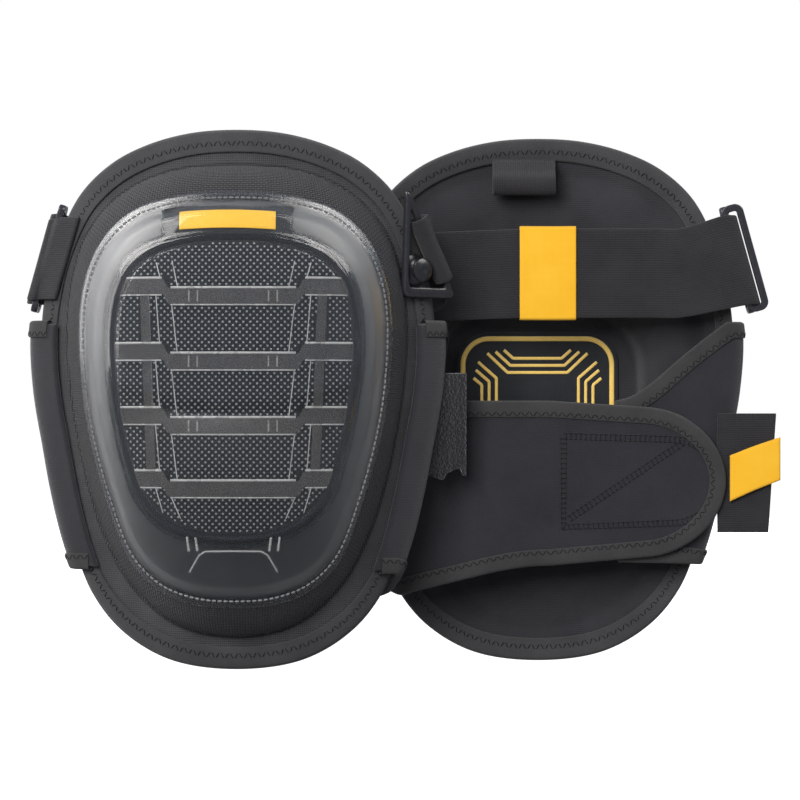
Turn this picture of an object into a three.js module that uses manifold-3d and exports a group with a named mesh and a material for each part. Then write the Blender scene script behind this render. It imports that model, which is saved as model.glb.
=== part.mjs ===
// A pair of strap-on knee pads: a clear moulded cap over a padded textile body, a moulded leg-side liner
// with a gel insert, an elastic upper strap with a slip-on clip, and a neoprene lower wrap with a
// hook-and-loop tab. Both pads are the same piece; the right one is turned round to show its inside.
//
// Pad frame, in millimetres: +X to the right when the cap is seen from the front, +Y from the cap
// towards the leg, +Z up the leg. Each pad is made in this frame and then placed by a group.
import * as THREE from "three";
import { mergeVertices } from "three/addons/utils/BufferGeometryUtils.js";
import Module from "manifold-3d";

const wasm = await Module();
wasm.setup();

// ---- Driving dimensions ----
const SIDE_RADIUS = 125; // the body's curve round the leg
const RISE_RADIUS = 420; // the body's curve along the leg
const FLANGE_DEPTH = 40; // the flange's middle, behind the cap's crown
const DOME_HEIGHT = 32.5; // the padded dome in front of the flange
const COVER_THICK = 1.6;
const LINER_THICK = 3.6;
const LINER_BACK = 5.6; // the liner's leg side, behind the flange's front
const LINER_ROLL = 8; // the padded roll round the knee recess
const KNEE_FLAT = 56; // the flat floor of the knee recess
const CAP_THICK = 2.2;
const CAP_RIM_STANDOFF = 2.8; // the cap's face above the cover at its sewn rim
const CAP_STANDOFF = 7.8; // and over its ribbed window
const GAP = 0.4; // clearance between neighbouring pieces
const WEBBING = 1.8;
const NEOPRENE = 3;
const STRAP_LOW = 39.5;
const STRAP_HIGH = 83;
const STRAP_DEPTH = 96.8; // the strap's inner layer
const RETURN_DEPTH = 99.8; // the layer that doubles back to the keeper
const WING_DEPTH = 95.2;
const WRAP_DEPTH = 101.2;
const WRAP_HINGE_X = -5; // where the fastened tab peels from the wrap
// How each pad is fastened: slack shortens its wrap, pull draws its strap ring inwards, and turn swings
// the ring's outer window back.
const FITS = {
  left: { slack: 27, pull: 5, turn: -Math.PI / 2 },
  right: { slack: 0, pull: 0, turn: 0 },
};
const PAD_SPACING = 146; // between the two pads' middles
const PAD_SETBACK = 214; // from the left cap's crown to the right one's
const ANGLES = 28; // steps round an outline

// ---- Outlines: half of each closed curve, from the top down; the other half mirrors it ----
class Outline {
  constructor(half) {
    const left = half.slice(1, -1).reverse();
    const points = [...half, ...left.map(([x, z]) => [-x, z])];
    const curve = new THREE.CatmullRomCurve3(
      points.map(([x, z]) => new THREE.Vector3(x, 0, z)),
      true,
      "centripetal",
    );
    this.samples = curve.getPoints(720).map((p) => [Math.atan2(p.x, p.z), Math.hypot(p.x, p.z)]);
    this.samples.sort((a, b) => a[0] - b[0]);
  }

  // Distance from the middle to the outline, at an angle measured from +Z towards +X.
  radius(angle) {
    const s = this.samples;
    const a = Math.atan2(Math.sin(angle), Math.cos(angle));
    const i = s.findIndex((p) => p[0] >= a);
    if (i <= 0) return s[0][1];
    const share = (a - s[i - 1][0]) / (s[i][0] - s[i - 1][0] || 1);
    return s[i - 1][1] + share * (s[i][1] - s[i - 1][1]);
  }

  // Share of the way from the middle to the outline.
  share(x, z) {
    return Math.hypot(x, z) / this.radius(Math.atan2(x, z));
  }

  // Half-width of the outline at a height.
  halfWidth(z) {
    let best = 0;
    for (const [a, r] of this.samples) {
      if (a > 0 && Math.abs(r * Math.cos(a) - z) < 1.2) best = Math.max(best, r * Math.sin(a));
    }
    return best;
  }
}

const PAD = new Outline([
  [0, 128.5], [22, 127], [43, 121.5], [60, 113], [75, 99], [85, 80],
  [92, 56], [95, 30], [93.5, 4], [89, -22], [84.5, -46], [78.5, -70],
  [69.5, -93], [55, -111], [32, -124.5], [0, -129],
]);
const DOME = new Outline([
  [0, 111], [34, 107.5], [57, 96], [72, 78], [79, 56], [81, 33],
  [79.5, 8], [76, -16], [70.5, -41], [62, -66], [49, -89], [28, -107], [0, -113],
]);
const CAP = new Outline([
  [0, 98], [28, 96], [50, 88.5], [64.5, 74], [72, 56], [74.5, 36],
  [73.4, 10], [70, -14], [61, -48], [49.5, -77], [36, -90.5], [19, -97], [0, -98.5],
]);
const WINDOW = new Outline([
  [0, 76.5], [22, 75], [38, 70.5], [49.5, 62], [56, 47], [58, 29],
  [57, 9], [54, -11], [49.5, -30], [43.5, -46], [32, -58], [17, -64], [0, -65.5],
]);
const KNEE_RECESS = new Outline([
  [0, 40], [30, 39], [46, 26], [49, -8], [47, -42], [32, -59], [0, -61],
]);

// ---- Surfaces: depth behind the cap's crown at a place on the front view ----
const smooth = (low, high, value) => THREE.MathUtils.smoothstep(value, low, high);

function flangeDepth(x, z) {
  const side = SIDE_RADIUS - Math.sqrt(SIDE_RADIUS ** 2 - x * x);
  return FLANGE_DEPTH + side + (z * z) / (2 * RISE_RADIUS);
}

function coverDepth(x, z) {
  const share = Math.min(1, DOME.share(x, z));
  return flangeDepth(x, z) - DOME_HEIGHT * Math.sqrt(1 - share ** 4);
}

function capDepth(x, z) {
  const raised = 1 - smooth(0.9, 0.99, CAP.share(x, z));
  return coverDepth(x, z) - CAP_RIM_STANDOFF - (CAP_STANDOFF - CAP_RIM_STANDOFF) * raised;
}

// A place at a height straight out from the flange's front.
function overFlange(x, z, height) {
  const slope = x / Math.sqrt(SIDE_RADIUS ** 2 - x * x);
  const out = new THREE.Vector3(slope, -1, z / RISE_RADIUS).normalize();
  return new THREE.Vector3(x, flangeDepth(x, z), z).addScaledVector(out, height);
}

// The liner's leg side: a flat knee recess inside a padded roll, then the flat flange.
function linerDepth(x, z) {
  if (KNEE_RECESS.share(x, z) <= 1.001) return KNEE_FLAT;
  const share = DOME.share(x, z);
  const roll = LINER_ROLL * (1 - smooth(0.86, 1, share));
  return flangeDepth(x, z) + LINER_BACK + roll;
}

// ---- Solids ----
// One closed body from quads of points; flat corners are merged and the faces turned outwards.
function closedBody(quads) {
  const corners = quads.flatMap(([a, b, c, d]) => [a, b, c, a, c, d]);
  const loose = new THREE.BufferGeometry().setFromPoints(corners);
  const merged = mergeVertices(loose, 1e-3);
  const kept = [];
  const index = merged.index.array;
  for (let i = 0; i < index.length; i += 3) {
    const [a, b, c] = index.slice(i, i + 3);
    if (a !== b && b !== c && a !== c) kept.push(a, b, c);
  }
  merged.setIndex(kept);
  return facingOut(merged);
}

function facingOut(geometry) {
  const position = geometry.attributes.position;
  const index = geometry.index.array;
  const [a, b, c] = [new THREE.Vector3(), new THREE.Vector3(), new THREE.Vector3()];
  let volume = 0;
  for (let i = 0; i < index.length; i += 3) {
    a.fromBufferAttribute(position, index[i]);
    b.fromBufferAttribute(position, index[i + 1]);
    c.fromBufferAttribute(position, index[i + 2]);
    volume += a.dot(b.cross(c));
  }
  if (volume < 0) {
    for (let i = 0; i < index.length; i += 3) {
      [index[i + 1], index[i + 2]] = [index[i + 2], index[i + 1]];
    }
  }
  return geometry;
}

// Joins two grids of points, front[i][j] and back[i][j], with walls round their edges.
function betweenGrids(front, back, closedRound) {
  const quads = [];
  const rows = front.length;
  const columns = front[0].length;
  const rowCount = closedRound ? rows : rows - 1;
  for (let i = 0; i < rowCount; i++) {
    const k = (i + 1) % rows;
    for (let j = 0; j < columns - 1; j++) {
      quads.push([front[i][j], front[k][j], front[k][j + 1], front[i][j + 1]]);
      quads.push([back[i][j], back[i][j + 1], back[k][j + 1], back[k][j]]);
    }
    const end = columns - 1;
    quads.push([front[i][0], back[i][0], back[k][0], front[k][0]]);
    quads.push([front[i][end], front[k][end], back[k][end], back[i][end]]);
  }
  if (!closedRound) {
    const last = rows - 1;
    for (let j = 0; j < columns - 1; j++) {
      quads.push([front[0][j], front[0][j + 1], back[0][j + 1], back[0][j]]);
      quads.push([front[last][j], back[last][j], back[last][j + 1], front[last][j + 1]]);
    }
  }
  return closedBody(quads);
}

// A slab spread from the middle over rings of [outline, share], between two depth functions. Its two
// sides may have different rings, with the same number and the same last one.
function slab(frontRings, frontDepth, backDepth, backRings = frontRings) {
  const grid = (rings, depth) =>
    Array.from({ length: ANGLES }, (_, i) => {
      const angle = (i / ANGLES) * 2 * Math.PI;
      const radii = [0, ...rings.map(([outline, share]) => outline.radius(angle) * share)];
      return radii.map((r, ring) => {
        const x = ring ? r * Math.sin(angle) : 0;
        const z = ring ? r * Math.cos(angle) : 0;
        return new THREE.Vector3(x, depth(x, z, ring), z);
      });
    });
  return betweenGrids(grid(frontRings, frontDepth), grid(backRings, backDepth), true);
}

// A strip of cloth: point(t, s) with t along it and s across it, given an even thickness.
function sheet(point, thickness, steps, rows = 1) {
  const delta = 1e-3;
  const front = [];
  const back = [];
  for (let i = 0; i <= steps; i++) {
    front.push([]);
    back.push([]);
    for (let j = 0; j <= rows; j++) {
      const [t, s] = [i / steps, j / rows];
      const [t0, t1] = [Math.max(0, t - delta), Math.min(1, t + delta)];
      const [s0, s1] = [Math.max(0, s - delta), Math.min(1, s + delta)];
      const along = point(t1, s).sub(point(t0, s));
      const across = point(t, s1).sub(point(t, s0));
      const half = along.cross(across).normalize().multiplyScalar(thickness / 2);
      front[i].push(point(t, s).add(half));
      back[i].push(point(t, s).sub(half));
    }
  }
  return betweenGrids(front, back, false);
}

// A strip ruled between a lower and an upper line, each through the same number of points.
function ruled(low, high) {
  const curve = (points) =>
    new THREE.CatmullRomCurve3(points.map((p) => new THREE.Vector3(...p)), false, "centripetal");
  const [lowCurve, highCurve] = [curve(low), curve(high)];
  const last = low.length - 1;
  return (t, s) => {
    const share = Math.min(1, Math.max(0, t)) * last;
    return lowCurve.getPoint(share / last).lerp(highCurve.getPoint(share / last), s);
  };
}

function toSolid(geometry) {
  const plain = geometry.index ? geometry.toNonIndexed() : geometry.clone();
  plain.deleteAttribute("normal");
  plain.deleteAttribute("uv");
  const merged = mergeVertices(plain, 1e-4);
  return new wasm.Manifold(
    new wasm.Mesh({
      numProp: 3,
      vertProperties: merged.attributes.position.array,
      triVerts: new Uint32Array(merged.index.array),
    }),
  );
}

function fromSolid(solid) {
  const mesh = solid.getMesh();
  return new THREE.BufferGeometry()
    .setAttribute("position", new THREE.BufferAttribute(mesh.vertProperties, 3))
    .setIndex(new THREE.BufferAttribute(mesh.triVerts, 1));
}

function box(x0, x1, y0, y1, z0, z1) {
  return new THREE.BoxGeometry(x1 - x0, y1 - y0, z1 - z0).translate(
    (x0 + x1) / 2,
    (y0 + y1) / 2,
    (z0 + z1) / 2,
  );
}

// ---- Materials ----
const plain = (color, roughness, metalness = 0) =>
  new THREE.MeshStandardMaterial({ color, roughness, metalness });
const MATERIALS = {
  clear: new THREE.MeshStandardMaterial({
    color: 0xb9bcc0,
    roughness: 0.15,
    metalness: 0,
    transparent: true,
    opacity: 0.4,
  }),
  mesh: plain(0x2a2a2d, 0.8),
  cover: plain(0x353437, 0.85),
  foam: plain(0x5a5a5e, 0.9),
  gel: plain(0x9fb0b8, 0.3),
  liner: plain(0x29292d, 0.9),
  print: plain(0x303134, 0.7),
  neoprene: plain(0x323236, 0.95),
  binding: plain(0x3a393b, 0.85),
  elastic: plain(0x383739, 0.9),
  yellow: plain(0xfbbf2c, 0.7),
  plastic: plain(0x2b2b2e, 0.35),
  hook: plain(0x262629, 1),
};

// ---- Moulded body ----
const COVER_RINGS = [[WINDOW, 0.5], [WINDOW, 0.97], [DOME, 0.82], [DOME, 0.94], [DOME, 1], [PAD, 0.955]];
const LINER_RINGS = [[KNEE_RECESS, 0.6], [KNEE_RECESS, 1], ...COVER_RINGS.slice(2)];
const GEL_RING = 1; // rings up to this one, counted from the middle, lie over the gel pocket
const POCKET_DEPTH = 11.6;
const GEL_THICK = 5;

function bodyCover() {
  return slab(COVER_RINGS, coverDepth, (x, z) => coverDepth(x, z) + COVER_THICK);
}

function innerLiner() {
  return slab(LINER_RINGS, (x, z) => linerDepth(x, z) - LINER_THICK, linerDepth);
}

function foamCore() {
  const under = (x, z) => linerDepth(x, z) - LINER_THICK - GAP;
  return slab(
    COVER_RINGS.slice(0, 4),
    (x, z) => coverDepth(x, z) + COVER_THICK + GAP,
    (x, z, ring) => under(x, z) - (ring <= GEL_RING ? POCKET_DEPTH : 0),
    LINER_RINGS.slice(0, 4),
  );
}

// layer 0 lies on the foam and layer 1 under the liner
function gelLayer(layer) {
  const floor = KNEE_FLAT - LINER_THICK - GAP - POCKET_DEPTH + GAP;
  const front = floor + layer * (GEL_THICK + GAP);
  return slab([[KNEE_RECESS, 0.57]], () => front, () => front + GEL_THICK);
}

// Tape folded over the flange's edge: a C section carried round the outline.
function edgeBinding() {
  const front = -1.7;
  const back = LINER_BACK + 1.7;
  const round = 1.6;
  const lip = 0.915;
  const edge = 0.955;
  const section = [
    [lip, 0, front], [1, -round, front - 0.2], [1, 0, front + round], [1, 0, back - round],
    [1, -round, back + 0.2], [lip, 0, back], [lip, 0, back - 1], [edge, GAP + 0.3, back - 1],
    [edge, GAP + 0.3, front + 1], [lip, 0, front + 1],
  ];
  const stations = Array.from({ length: ANGLES }, (_, i) => {
    const angle = (i / ANGLES) * 2 * Math.PI;
    return section.map(([share, inset, depth]) => {
      const r = PAD.radius(angle) * share + inset;
      const [x, z] = [r * Math.sin(angle), r * Math.cos(angle)];
      return new THREE.Vector3(x, flangeDepth(x, z) + depth, z);
    });
  });
  const quads = stations.flatMap((here, i) => {
    const next = stations[(i + 1) % ANGLES];
    return section.map((_, j) => {
      const k = (j + 1) % section.length;
      return [here[j], here[k], next[k], next[j]];
    });
  });
  return closedBody(quads);
}

// A printed cloth panel sewn on the floor of the knee recess.
const PANEL_WIDTH = 80;
const PANEL_LOW = -52;
const PANEL_HIGH = 33;
const PANEL_CORNER = 16;
const PANEL_THICK = 1.2;
const PANEL_BACK = KNEE_FLAT + GAP + PANEL_THICK;

function kneePanel() {
  const [w, r] = [PANEL_WIDTH / 2, PANEL_CORNER];
  const shape = new THREE.Shape()
    .moveTo(-w + r, PANEL_LOW)
    .lineTo(w - r, PANEL_LOW)
    .absarc(w - r, PANEL_LOW + r, r, -Math.PI / 2, 0)
    .absarc(w - r, PANEL_HIGH - r, r, 0, Math.PI / 2)
    .absarc(-w + r, PANEL_HIGH - r, r, Math.PI / 2, Math.PI)
    .absarc(-w + r, PANEL_LOW + r, r, Math.PI, 1.5 * Math.PI);
  const geometry = new THREE.ExtrudeGeometry(shape, {
    depth: PANEL_THICK,
    bevelEnabled: false,
    curveSegments: 5,
  });
  return geometry.rotateX(Math.PI / 2).translate(0, PANEL_BACK, 0);
}

// ---- Clear cap with its cast ribs, the mesh under it, and the badge ----
const RIB_LEVELS = [48, 17.5, -12.5, -42];
const RIB_HALF = 3.6;
const SIDE_RIB_RISE = 4.6;
const RIB_SPLIT = 30; // where the middle rib steps up to the side ribs
const POST_X = 41.5;
const POST_LEAN = 3.5; // how much nearer the middle the posts are at their lower end

const WINDOW_RINGS = COVER_RINGS.slice(0, 2);

function capShell() {
  const rings = [...WINDOW_RINGS, [CAP, 0.9], [CAP, 0.955], [CAP, 1]];
  return slab(rings, capDepth, (x, z) => capDepth(x, z) + CAP_THICK);
}

function capRibs() {
  const deep = [-5, 60];
  const bars = RIB_LEVELS.flatMap((level) => {
    const side = level + SIDE_RIB_RISE;
    return [
      box(-RIB_SPLIT - 2, RIB_SPLIT + 2, ...deep, level - RIB_HALF, level + RIB_HALF),
      box(-60, -RIB_SPLIT, ...deep, side - RIB_HALF, side + RIB_HALF),
      box(RIB_SPLIT, 60, ...deep, side - RIB_HALF, side + RIB_HALF),
    ];
  });
  const [top, bottom] = [RIB_LEVELS[0], RIB_LEVELS.at(-1)].map((level) => level + SIDE_RIB_RISE);
  const middleLevel = (top + bottom) / 2;
  const posts = [-1, 1].map((side) => {
    const lean = Math.atan2(POST_LEAN, top - bottom);
    const middle = side * (POST_X - POST_LEAN / 2);
    return box(-2.2, 2.2, ...deep, bottom - middleLevel, top - middleLevel)
      .rotateY(side * lean)
      .translate(middle, 0, middleLevel);
  });
  const layer = toSolid(
    slab(
      WINDOW_RINGS,
      (x, z) => capDepth(x, z) + CAP_THICK + GAP,
      (x, z) => coverDepth(x, z) - 2.2,
    ),
  );
  const grid = [...bars, ...posts].map(toSolid).reduce((sum, solid) => sum.add(solid));
  return fromSolid(grid.intersect(layer));
}

function gripMesh() {
  return slab(
    WINDOW_RINGS,
    (x, z) => coverDepth(x, z) - 1.7,
    (x, z) => coverDepth(x, z) - 0.6,
  );
}

const BADGE_HALF = 29;
const BADGE_LOW = 77.5;
const BADGE_HIGH = 89;
const BAR_HALF = 24.5;
const BAR_LOW = 80;
const BAR_HIGH = 87.4;

function badgePlate() {
  return badgeSlip(BADGE_HALF, BADGE_LOW, BADGE_HIGH, 1.1, 0.9);
}

function badgeBar() {
  return badgeSlip(BAR_HALF, BAR_LOW, BAR_HIGH, 2.3, 0.4);
}

function badgeSlip(half, low, high, above, thick) {
  return sheet(
    (t, s) => {
      const x = THREE.MathUtils.lerp(-half, half, t);
      const z = THREE.MathUtils.lerp(low, high, s);
      return new THREE.Vector3(x, coverDepth(x, z) - above, z);
    },
    thick,
    8,
    2,
  );
}

// ---- Neoprene wings: sewn on the flange's front, round the edge and across the back ----
const WING_TOP = 36;
const WING_INSET = 11; // from the pad's edge to the seam on the flange's front
const WING_LIFT = 3.6; // the wing's middle above the flange's front
const WING_ROUND = 8; // how it turns on to the back plane

// The plan line at a height, from the front seam round the edge to the inner end on the back plane.
function wingLine(side, z, backPlane, innerX) {
  const rim = PAD.halfWidth(z);
  const seam = overFlange(rim - WING_INSET, z, WING_LIFT);
  const turn = overFlange(rim, z, WING_LIFT);
  const edge = turn.x + 0.6;
  const plan = [
    [seam.x, seam.y], [turn.x, turn.y], [edge, (turn.y + backPlane) / 2], [edge - 2, backPlane - 3],
    [edge - WING_ROUND, backPlane],
  ].map(([x, y]) => new THREE.Vector2(side * x, y));
  plan.push(new THREE.Vector2((side * (edge - WING_ROUND) + innerX) / 2, backPlane));
  plan.push(new THREE.Vector2(innerX, backPlane));
  return plan;
}

function wing(side, backPlane, innerX, low, high) {
  const point = (t, s) => {
    const clamped = Math.min(1, Math.max(0, t));
    const z = THREE.MathUtils.lerp(low(clamped), high(clamped), s);
    const line = wingLine(side, z, backPlane, innerX);
    const share = clamped * (line.length - 1);
    const i = Math.min(line.length - 2, Math.floor(share));
    const place = line[i].clone().lerp(line[i + 1], share - i);
    return new THREE.Vector3(place.x, place.y, z);
  };
  return sheet(point, NEOPRENE, 12, 5);
}

const WING_INNER_X = -38;

function loopWing() {
  const low = (t) => THREE.MathUtils.lerp(-80, -78, t);
  const high = (t) => WING_TOP - 38 * smooth(0.62, 1, t);
  return wing(-1, WING_DEPTH, WING_INNER_X, low, high);
}

function wrapMain({ slack }) {
  const low = (t) => -82 - 12 * smooth(0.1, 0.6, t) + 14.5 * smooth(0.6, 1, t);
  const high = (t) => WING_TOP - 38.5 * smooth(0.45, 0.8, t);
  return wing(1, WRAP_DEPTH, WRAP_HINGE_X + slack, low, high);
}

const TAB_TIP_X = -89;
const TAB_MIDDLE = -40; // the tab's middle and half height near its tip
const TAB_HALF = 32;

// The wrap's round-ended tab, from the hinge line out to its tip.
function wrapTab() {
  const start = WRAP_HINGE_X - 1.2;
  return sheet(tabPoint(start, TAB_TIP_X, -2.5, -79.5, 36, TAB_HALF), NEOPRENE, 12, 1);
}

function hookPatch() {
  const under = tabPoint(-10, -84.5, -16.5, -65, 24, 22);
  const depth = WRAP_DEPTH - NEOPRENE / 2 - 0.8;
  return sheet((t, s) => under(t, s).setY(depth), 0.8, 10, 1);
}

// A flat tab along X whose far end closes with a round nose.
function tabPoint(start, tip, high, low, nose, tipHalf) {
  return (t, s) => {
    const x = THREE.MathUtils.lerp(start, tip, t);
    const intoNose = Math.max(0, (tip + nose - x) / nose);
    const width = Math.sqrt(Math.max(0.004, 1 - intoNose ** 2));
    const middle = THREE.MathUtils.lerp((high + low) / 2, TAB_MIDDLE, t);
    const half = THREE.MathUtils.lerp((high - low) / 2, tipHalf, t) * width;
    return new THREE.Vector3(x, WRAP_DEPTH, middle - half + 2 * half * s);
  };
}

// ---- Upper strap, its ring and its keeper ----
const RING_BAR = 1.8; // the bar's radius
const STRAP_RISE = 6.5; // how much higher the strap is at the ring than across the back
const RING_LOW = new THREE.Vector3(-102.5, 0, STRAP_LOW + STRAP_RISE);
const RING_HIGH = new THREE.Vector3(-90.5, 0, STRAP_HIGH + STRAP_RISE);
const RING_OUTER_DEPTH = 98.6;
const RING_INNER_DEPTH = 85.6;
const FOLD = RING_BAR + 1.7 + WEBBING / 2; // the strap's middle round the bar, with room to swing

const FRAME_REACH = 8; // from the bar that the strap folds round to the ring's outermost bar

const ringX = (z, pull) =>
  THREE.MathUtils.mapLinear(z, RING_LOW.z, RING_HIGH.z, RING_LOW.x, RING_HIGH.x) + pull;

function upperStrap({ pull }) {
  const line = (z) => {
    const raised = z + STRAP_RISE;
    const bar = ringX(raised, pull);
    const round = (degrees) => {
      const angle = THREE.MathUtils.degToRad(degrees);
      return [bar - FOLD * Math.sin(angle), RING_OUTER_DEPTH - FOLD * Math.cos(angle), raised];
    };
    return [
      [86, STRAP_DEPTH, z], [0, STRAP_DEPTH, z], [-66, STRAP_DEPTH - 0.4, z],
      round(0), round(45), round(90), round(135), round(180),
      [-66, RETURN_DEPTH + 0.5, z], [-30, RETURN_DEPTH, z], [6, RETURN_DEPTH, z],
    ];
  };
  return sheet(ruled(line(STRAP_LOW), line(STRAP_HIGH)), WEBBING, 26);
}

// A plastic ring with its bars along the strap's slanted end: one window for the webbing that holds it,
// and one outside the strap's fold.
function strapRing({ pull, turn }) {
  const barLength = RING_HIGH.distanceTo(RING_LOW) + 7;
  const slant = Math.atan2(RING_HIGH.x - RING_LOW.x, RING_HIGH.z - RING_LOW.z);
  const middle = RING_LOW.clone().add(RING_HIGH).divideScalar(2);
  const window = (reach, thick) => {
    const outer = roundedRectangle(barLength + 2 * RING_BAR, reach + 2 * RING_BAR, 3);
    outer.holes.push(roundedRectangle(barLength - 2 * RING_BAR, reach - 2 * RING_BAR, 1));
    return new THREE.ExtrudeGeometry(outer, { depth: thick, bevelEnabled: false, curveSegments: 2 })
      .translate(0, 0, -thick / 2);
  };
  const depth = RING_OUTER_DEPTH - RING_INNER_DEPTH;
  const inner = window(depth, 3.2).rotateY(-Math.PI / 2).translate(0, -depth / 2, 0);
  const outer = window(FRAME_REACH, 2 * RING_BAR)
    .rotateZ(Math.PI / 2)
    .rotateX(Math.PI / 2)
    .translate(-FRAME_REACH / 2, 0, 0)
    .rotateZ(turn);
  return fromSolid(toSolid(inner).add(toSolid(outer)))
    .rotateY(slant)
    .translate(middle.x + pull, RING_OUTER_DEPTH, middle.z);
}

function roundedRectangle(width, height, radius) {
  const [w, h, r] = [width / 2, height / 2, radius];
  return new THREE.Shape()
    .moveTo(-w + r, -h)
    .lineTo(w - r, -h)
    .absarc(w - r, -h + r, r, -Math.PI / 2, 0)
    .absarc(w - r, h - r, r, 0, Math.PI / 2)
    .absarc(-w + r, h - r, r, Math.PI / 2, Math.PI)
    .absarc(-w + r, -h + r, r, Math.PI, 1.5 * Math.PI);
}

// Webbing sewn to the flange's front and folded round the ring's inner bar.
function ringTab({ pull }) {
  const fold = RING_BAR + 1.2 + WEBBING / 2;
  const line = (z) => {
    const bar = ringX(z, pull);
    const seam = -PAD.halfWidth(z) + 9;
    const round = (degrees) => {
      const angle = THREE.MathUtils.degToRad(degrees);
      return [bar - fold * Math.sin(angle), RING_INNER_DEPTH - fold * Math.cos(angle), z];
    };
    return [
      overFlange(seam, z, 3.6).toArray(), overFlange(seam - 9, z, 3.8).toArray(),
      round(20), round(60), round(100), round(140), round(185),
    ];
  };
  return sheet(ruled(line(RING_LOW.z + 1.5), line(RING_HIGH.z - 3)), WEBBING, 12);
}

// A band round both layers of the strap.
const KEEPER_WIDTH = 27.5;
const KEEPER_X = -4;

function strapKeeper() {
  const [low, high] = [STRAP_LOW - 2.2, STRAP_HIGH + 2.2];
  const [front, back] = [STRAP_DEPTH - 2.6, RETURN_DEPTH + 2.6];
  const band = roundedRectangle(high - low, back - front, 1.2);
  const inside = roundedRectangle(high - low - 2.8, back - front - 2.8, 0.4);
  band.holes.push(inside);
  return new THREE.ExtrudeGeometry(band, {
    depth: KEEPER_WIDTH,
    bevelEnabled: false,
    curveSegments: 2,
  })
    .translate(0, 0, -KEEPER_WIDTH / 2)
    .rotateY(-Math.PI / 2)
    .translate(KEEPER_X, (front + back) / 2, (low + high) / 2);
}

// ---- Slip-on clip and its stud, on the flange's right-hand side ----
const STUD_X = 83;
const STUD_Z = 61.5;
const CLIP_HEIGHT = 4.2; // the clip's middle above the flange
const CLIP_CORNERS = [[-9, -11], [21.5, -11.5], [-7, 37]]; // from the stud, along the flange and up
const CLIP_THICK = 3;

// Turns from the pad frame to the stud's: X along the flange, Y up, Z out of it.
function studFrame() {
  const slope = STUD_X / Math.sqrt(SIDE_RADIUS ** 2 - STUD_X ** 2);
  const out = new THREE.Vector3(slope, -1, 0).normalize();
  const along = new THREE.Vector3(1, slope, 0).normalize();
  const up = new THREE.Vector3(0, 0, 1);
  return new THREE.Matrix4().makeBasis(along, up, out).setPosition(overFlange(STUD_X, STUD_Z, 1.4));
}

function stud() {
  const profile = [
    [0, 0.6], [8, 0.6], [8, 1.6], [3, 2], [3, 6.6], [5.6, 6.8], [5.9, 7.8], [4, 9], [0, 9.4],
  ];
  return new THREE.LatheGeometry(profile.map(([r, h]) => new THREE.Vector2(r, h)), 14)
    .rotateX(Math.PI / 2)
    .applyMatrix4(studFrame());
}

const CLIP_MIDDLE = CLIP_CORNERS.reduce(([a, b], [x, z]) => [a + x / 3, b + z / 3], [0, 0]);
const CLIP_OUTER = 1.12; // sizes of the clip's outline and of its window
const CLIP_INNER = 0.8;

// The clip's triangle at a size, with its corners rounded by a share of each edge.
function clipOutline(size, rounding) {
  const corners = CLIP_CORNERS.map(([x, z]) => {
    const [mx, mz] = CLIP_MIDDLE;
    return new THREE.Vector2(mx + (x - mx) * size, mz + (z - mz) * size);
  });
  const outline = new THREE.Shape();
  corners.forEach((corner, i) => {
    const before = corner.clone().lerp(corners[(i + 2) % 3], rounding);
    const after = corner.clone().lerp(corners[(i + 1) % 3], rounding);
    if (i) outline.lineTo(before.x, before.y);
    else outline.moveTo(before.x, before.y);
    outline.quadraticCurveTo(corner.x, corner.y, after.x, after.y);
  });
  return outline.closePath();
}

function slipClip() {
  const outline = clipOutline(CLIP_OUTER, 0.1);
  outline.holes.push(clipOutline(CLIP_INNER, 0.06));
  return new THREE.ExtrudeGeometry(outline, {
    depth: CLIP_THICK,
    bevelEnabled: false,
    curveSegments: 3,
  })
    .translate(0, 0, CLIP_HEIGHT - CLIP_THICK / 2)
    .applyMatrix4(studFrame());
}

// A place along the middle of the clip's strap bar, from its lower to its upper end.
function clipBarPoint(share) {
  const size = (CLIP_OUTER + CLIP_INNER) / 2;
  const [low, high] = CLIP_CORNERS.slice(1);
  const place = [0, 1].map((i) => {
    const corner = THREE.MathUtils.lerp(low[i], high[i], share);
    return CLIP_MIDDLE[i] + (corner - CLIP_MIDDLE[i]) * size;
  });
  return new THREE.Vector3(...place, CLIP_HEIGHT).applyMatrix4(studFrame());
}

// The strap's other end: from the back, round the edge, and folded over the clip's bar.
function strapEnd() {
  const fold = 3.4 + WEBBING / 2;
  const [low, high] = [clipBarPoint(0.14), clipBarPoint(0.77)];
  const frame = studFrame();
  const out = new THREE.Vector3().setFromMatrixColumn(frame, 2);
  const bar = high.clone().sub(low).normalize();
  const inward = bar.clone().cross(out).normalize();
  if (inward.x > 0) inward.negate();
  const line = (base, x, z, swing) => {
    const round = (angle) =>
      base
        .clone()
        .addScaledVector(inward, fold * Math.cos(angle))
        .addScaledVector(out, fold * Math.sin(angle));
    return [
      [x, STRAP_DEPTH, z],
      swing,
      round(-2.2).toArray(),
      round(-1.2).toArray(),
      round(0).toArray(),
      round(1.2).toArray(),
      round(2.2).toArray(),
    ];
  };
  const lower = line(low, 87, STRAP_LOW, [100, 101, 46]);
  const upper = line(high, 87, STRAP_HIGH, [92, 95.5, 88]);
  return sheet(ruled(lower, upper), WEBBING, 16, 2);
}

// ---- Small webbing and elastic pieces ----
const LOOP_X = 7; // middle of the webbing loop at the top
const LOOP_HALF = 15.5;

function hangLoop() {
  const back = (x, z, out) => [x, flangeDepth(x, z) + LINER_BACK + out, z];
  const line = (x) => [
    back(x, 118, 3.6), back(x, 112, 4.4), back(x, 106, 9.5), back(x, 101, 13),
    back(x, 97.5, 17.5), back(x, 99, 22), back(x, 105, 21.5), back(x, 111, 14.5), back(x, 117, 7),
  ];
  return sheet(ruled(line(LOOP_X - LOOP_HALF), line(LOOP_X + LOOP_HALF)), WEBBING, 12);
}

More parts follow.
